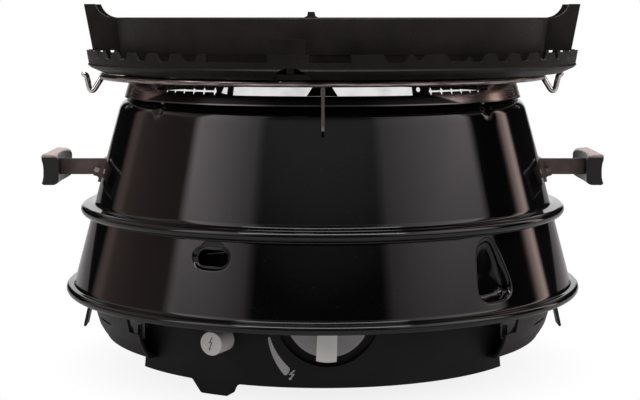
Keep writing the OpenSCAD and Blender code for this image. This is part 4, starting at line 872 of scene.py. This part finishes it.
casting_finish = finishes["coated_casting"]
finish_piece(turned("tray_skirt", SKIRT, TRAY_X), "griddle_tray", casting_finish)
for side_name, side in (("left", -1), ("right", 1)):
    outline = [(TRAY_X + side * r, z) for r, z in WEB][::side]
    for end_name, y in (("front", -WEB_Y), ("rear", WEB_Y)):
        web = slab(f"ear_web_{side_name}_{end_name}", outline, y, WEB_THICK)
        finish_piece(web, "griddle_tray", casting_finish)


# The printed marks lie on the panel's and the button's round faces, a little proud of them
PROUD = 0.05
PANEL_R = -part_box("control_panel")[0].y
knob_low, knob_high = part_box("knob")
KNOB_X = (knob_low.x + knob_high.x) / 2
KNOB_Z = (knob_low.z + knob_high.z) / 2
MARK_START = 202.0
MARK_END = 236.6
MARK_R = 44.82
MARK_OPENS = 0.16
MARK_NARROW = 1.6
MARK_GROWS = 5.2
MARK_ROUND_FROM = 0.93
SPARK_X = -21.6 * MM
SPARK_Z = 24.6 * MM
BUTTON_AZIMUTH = -25.5
BUTTON_FACE_R = 183.0
SPARK = [(0.22, 1.0), (-0.5, 0.02), (-0.02, 0.1), (-0.3, -0.62), (-0.5, -0.5), (-0.42, -1.0),
         (0.02, -0.78), (-0.14, -0.72), (0.36, 0.26), (-0.1, 0.18), (0.42, 0.92)]
grey_ink = print_ink("grey_ink", (0.58, 0.58, 0.58))
pale_ink = print_ink("pale_ink", (0.60, 0.60, 0.60))
dark_ink = print_ink("dark_ink", (0.16, 0.14, 0.13))


def on_panel(x, z):
    """Points (x, z) of the front view, carried back to the panel's cylinder."""
    return np.stack([x, -np.sqrt((PANEL_R + PROUD * MM) ** 2 - x**2), z], axis=-1)


def power_mark():
    """A crescent round the knob. The radius of its middle is MARK_R + MARK_OPENS * (turn -
    MARK_START). It widens evenly from a blunt point to full, and its last part is rounded off."""
    degrees = np.linspace(MARK_START, MARK_END, 60)[:, None]
    turn = np.radians(degrees)
    share = np.linspace(0.0, 1.0, 60)[:, None]
    across = np.linspace(-0.5, 0.5, 7)[None, :]
    width = (MARK_NARROW + MARK_GROWS * share) * MM
    past = (share - MARK_ROUND_FROM) / (1.0 - MARK_ROUND_FROM)
    end = np.sqrt(1.0 - np.clip(past, 0.0, 1.0) ** 2)
    radius = (MARK_R + MARK_OPENS * (degrees - MARK_START)) * MM + across * width * end
    x, z = KNOB_X + radius * np.cos(turn), KNOB_Z + radius * np.sin(turn)
    return surface("power_mark", on_panel(x, z))


def spark(name, carry, size, thin):
    """A spark with a zigzag shaft and a small head at its foot: a flat outline, laid on a face."""
    outline = np.array(SPARK) * (size * thin * MM, size * MM)
    points = carry(outline[:, 0], outline[:, 1])
    return new_piece(name, points, [list(range(len(outline)))])


def beside_knob(x, z):
    """Points of the panel, from the middle of its spark."""
    return on_panel(SPARK_X + x, SPARK_Z + z)


def on_button(x, z):
    """Points of the button's face, from its middle."""
    low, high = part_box("igniter_button")
    a = math.radians(BUTTON_AZIMUTH)
    out = (BUTTON_FACE_R + PROUD) * MM
    middle_z = (low.z + high.z) / 2
    return np.stack([out * math.sin(a) + x * math.cos(a), x * math.sin(a) - out * math.cos(a),
                     middle_z + z], -1)


finish_piece(power_mark(), "body", grey_ink)
finish_piece(spark("panel_spark", beside_knob, 3.7, 1.4), "body", pale_ink)
finish_piece(spark("button_spark", on_button, 5.0, 0.7), "igniter_button", dark_ink)


def floor():
    """A large pale floor, flat at the ground. The camera sees it as white, with a little shade at
    the object's foot, and so do reflections of what lies behind the object."""
    half = 9.0
    corners = [(-half, -half, 0), (half, -half, 0), (half, half, 0), (-half, half, 0)]
    piece = new_piece("floor", corners, [(0, 1, 2, 3)])
    f = Finish("floor", (0.5, 0.5, 0.5), roughness=0.9)
    x, y, z = f.axes()
    far = f.spread(from_axis(x, y), 0.12, 0.22, 0.85, 1.0)
    ray = f.add("ShaderNodeLightPath")
    behind = f.spread(from_front(x, y).math("ABSOLUTE"), 160.0, 166.0) * ray["Is Glossy Ray"]
    seen = ray["Is Camera Ray"].math("MAXIMUM", behind).math("MAXIMUM", ray["Is Transmission Ray"])
    glow = f.add("ShaderNodeEmission", {"Color": WHITE, "Strength": 1.0})[0]
    plain = Socket(f, f.shader.outputs[0])
    shown = f.add("ShaderNodeMixShader", {0: seen * far, 1: plain, 2: glow})[0]
    f.put(f.tree.nodes["Material Output"].inputs["Surface"], shown)
    piece.data.materials.append(f.material)


def world():
    """A dark studio with soft panels. By azimuth from the front, in degrees: a cool graded panel on
    each side of the camera, warm panels further round, and a white backdrop behind the object. Dim
    grey light comes from all round too, most of it from about 27 degrees up."""
    made = bpy.data.worlds.new("studio")
    bpy.context.scene.world = made
    made.use_nodes = True
    f = Nodes(made.node_tree)
    x, y, z = f.split(f.add("ShaderNodeTexCoord")["Generated"])
    azimuth = from_front(x, y)
    ray = f.add("ShaderNodeLightPath")

    def band(start, end, soft, from_value, to_value):
        """A strip of light between two azimuths, graded from end to end, with soft edges."""
        rise = f.spread(azimuth, start - soft, start + soft)
        fall = f.spread(azimuth, end - soft, end + soft, 1.0, 0.0)
        return rise * fall * f.spread(azimuth, start, end, from_value, to_value)

    tall = f.spread(z, -0.1, 0.0) * f.spread(z, 0.75, 0.9, 1.0, 0.0)
    graded = tall * f.spread(z, 0.08, 0.16) * f.spread(z, 0.235, 0.32, 0.5, 1.0)
    cool = (band(-74.0, -34.0, 2.6, 2.4, 0.42) + band(30.0, 89.0, 2.6, 0.36, 2.1)) * graded
    warm = (band(-126.0, -72.0, 4.0, 0.25, 0.2) + band(-127.0, -118.0, 2.0, 0.15, 0.15)
            + band(112.0, 122.5, 2.0, 0.5, 2.7)) * tall
    dim = f.spread(z, 0.33, 0.43, 0.01, 0.34) - f.spread(z, 0.46, 0.52, 0.0, 0.2)
    lit = f.join(cool + warm + dim,
                 cool * 0.90 + warm * 0.76 + dim,
                 cool * 0.93 + warm * 0.70 + dim)
    rear = f.spread(azimuth.math("ABSOLUTE"), 159.0, 164.0)
    seen = ray["Is Camera Ray"].math("MAXIMUM", ray["Is Transmission Ray"])
    background = f.tree.nodes["Background"]
    f.put(background.inputs["Color"], f.mix(seen.math("MAXIMUM", rear), lit, WHITE))
    f.put(background.inputs["Strength"], 1.0)


def soft_box(name, azimuth, elevation, distance, size, watts):
    """A rectangular lamp at an azimuth from the front, aimed at the object's middle."""
    lamp = bpy.data.lights.new(name, "AREA")
    lamp.shape = "RECTANGLE"
    lamp.size, lamp.size_y = size
    lamp.energy = watts
    holder = bpy.data.objects.new(name, lamp)
    bpy.context.scene.collection.objects.link(holder)
    a, e = math.radians(azimuth), math.radians(elevation)
    away = Vector((math.sin(a) * math.cos(e), -math.cos(a) * math.cos(e), math.sin(e)))
    middle = Vector((0.0, 0.0, 0.14))
    holder.location = middle + away * distance
    holder.rotation_euler = away.to_track_quat("Z", "Y").to_euler()


def camera():
    """The photograph's view: a long lens level with the tray, pitched a little down."""
    pitch = 6.88
    lens = bpy.data.cameras.new("camera")
    lens.sensor_width = 36.0
    lens.lens = 84.8
    lens.clip_end = 60.0
    eye = bpy.data.objects.new("camera", lens)
    bpy.context.scene.collection.objects.link(eye)
    eye.location = (-2.0 * MM, -1206.0 * MM, 275.0 * MM)
    eye.rotation_euler = (math.radians(90.0 - pitch), 0.0, 0.0)
    bpy.context.scene.camera = eye


floor()
world()
soft_box("front_box", 0.0, 58.0, 1.6, (1.8, 0.3), 13.5)
soft_box("top_box", 180.0, 74.0, 1.5, (1.2, 1.2), 10.0)
camera()
bpy.context.scene.view_settings.view_transform = "Standard"
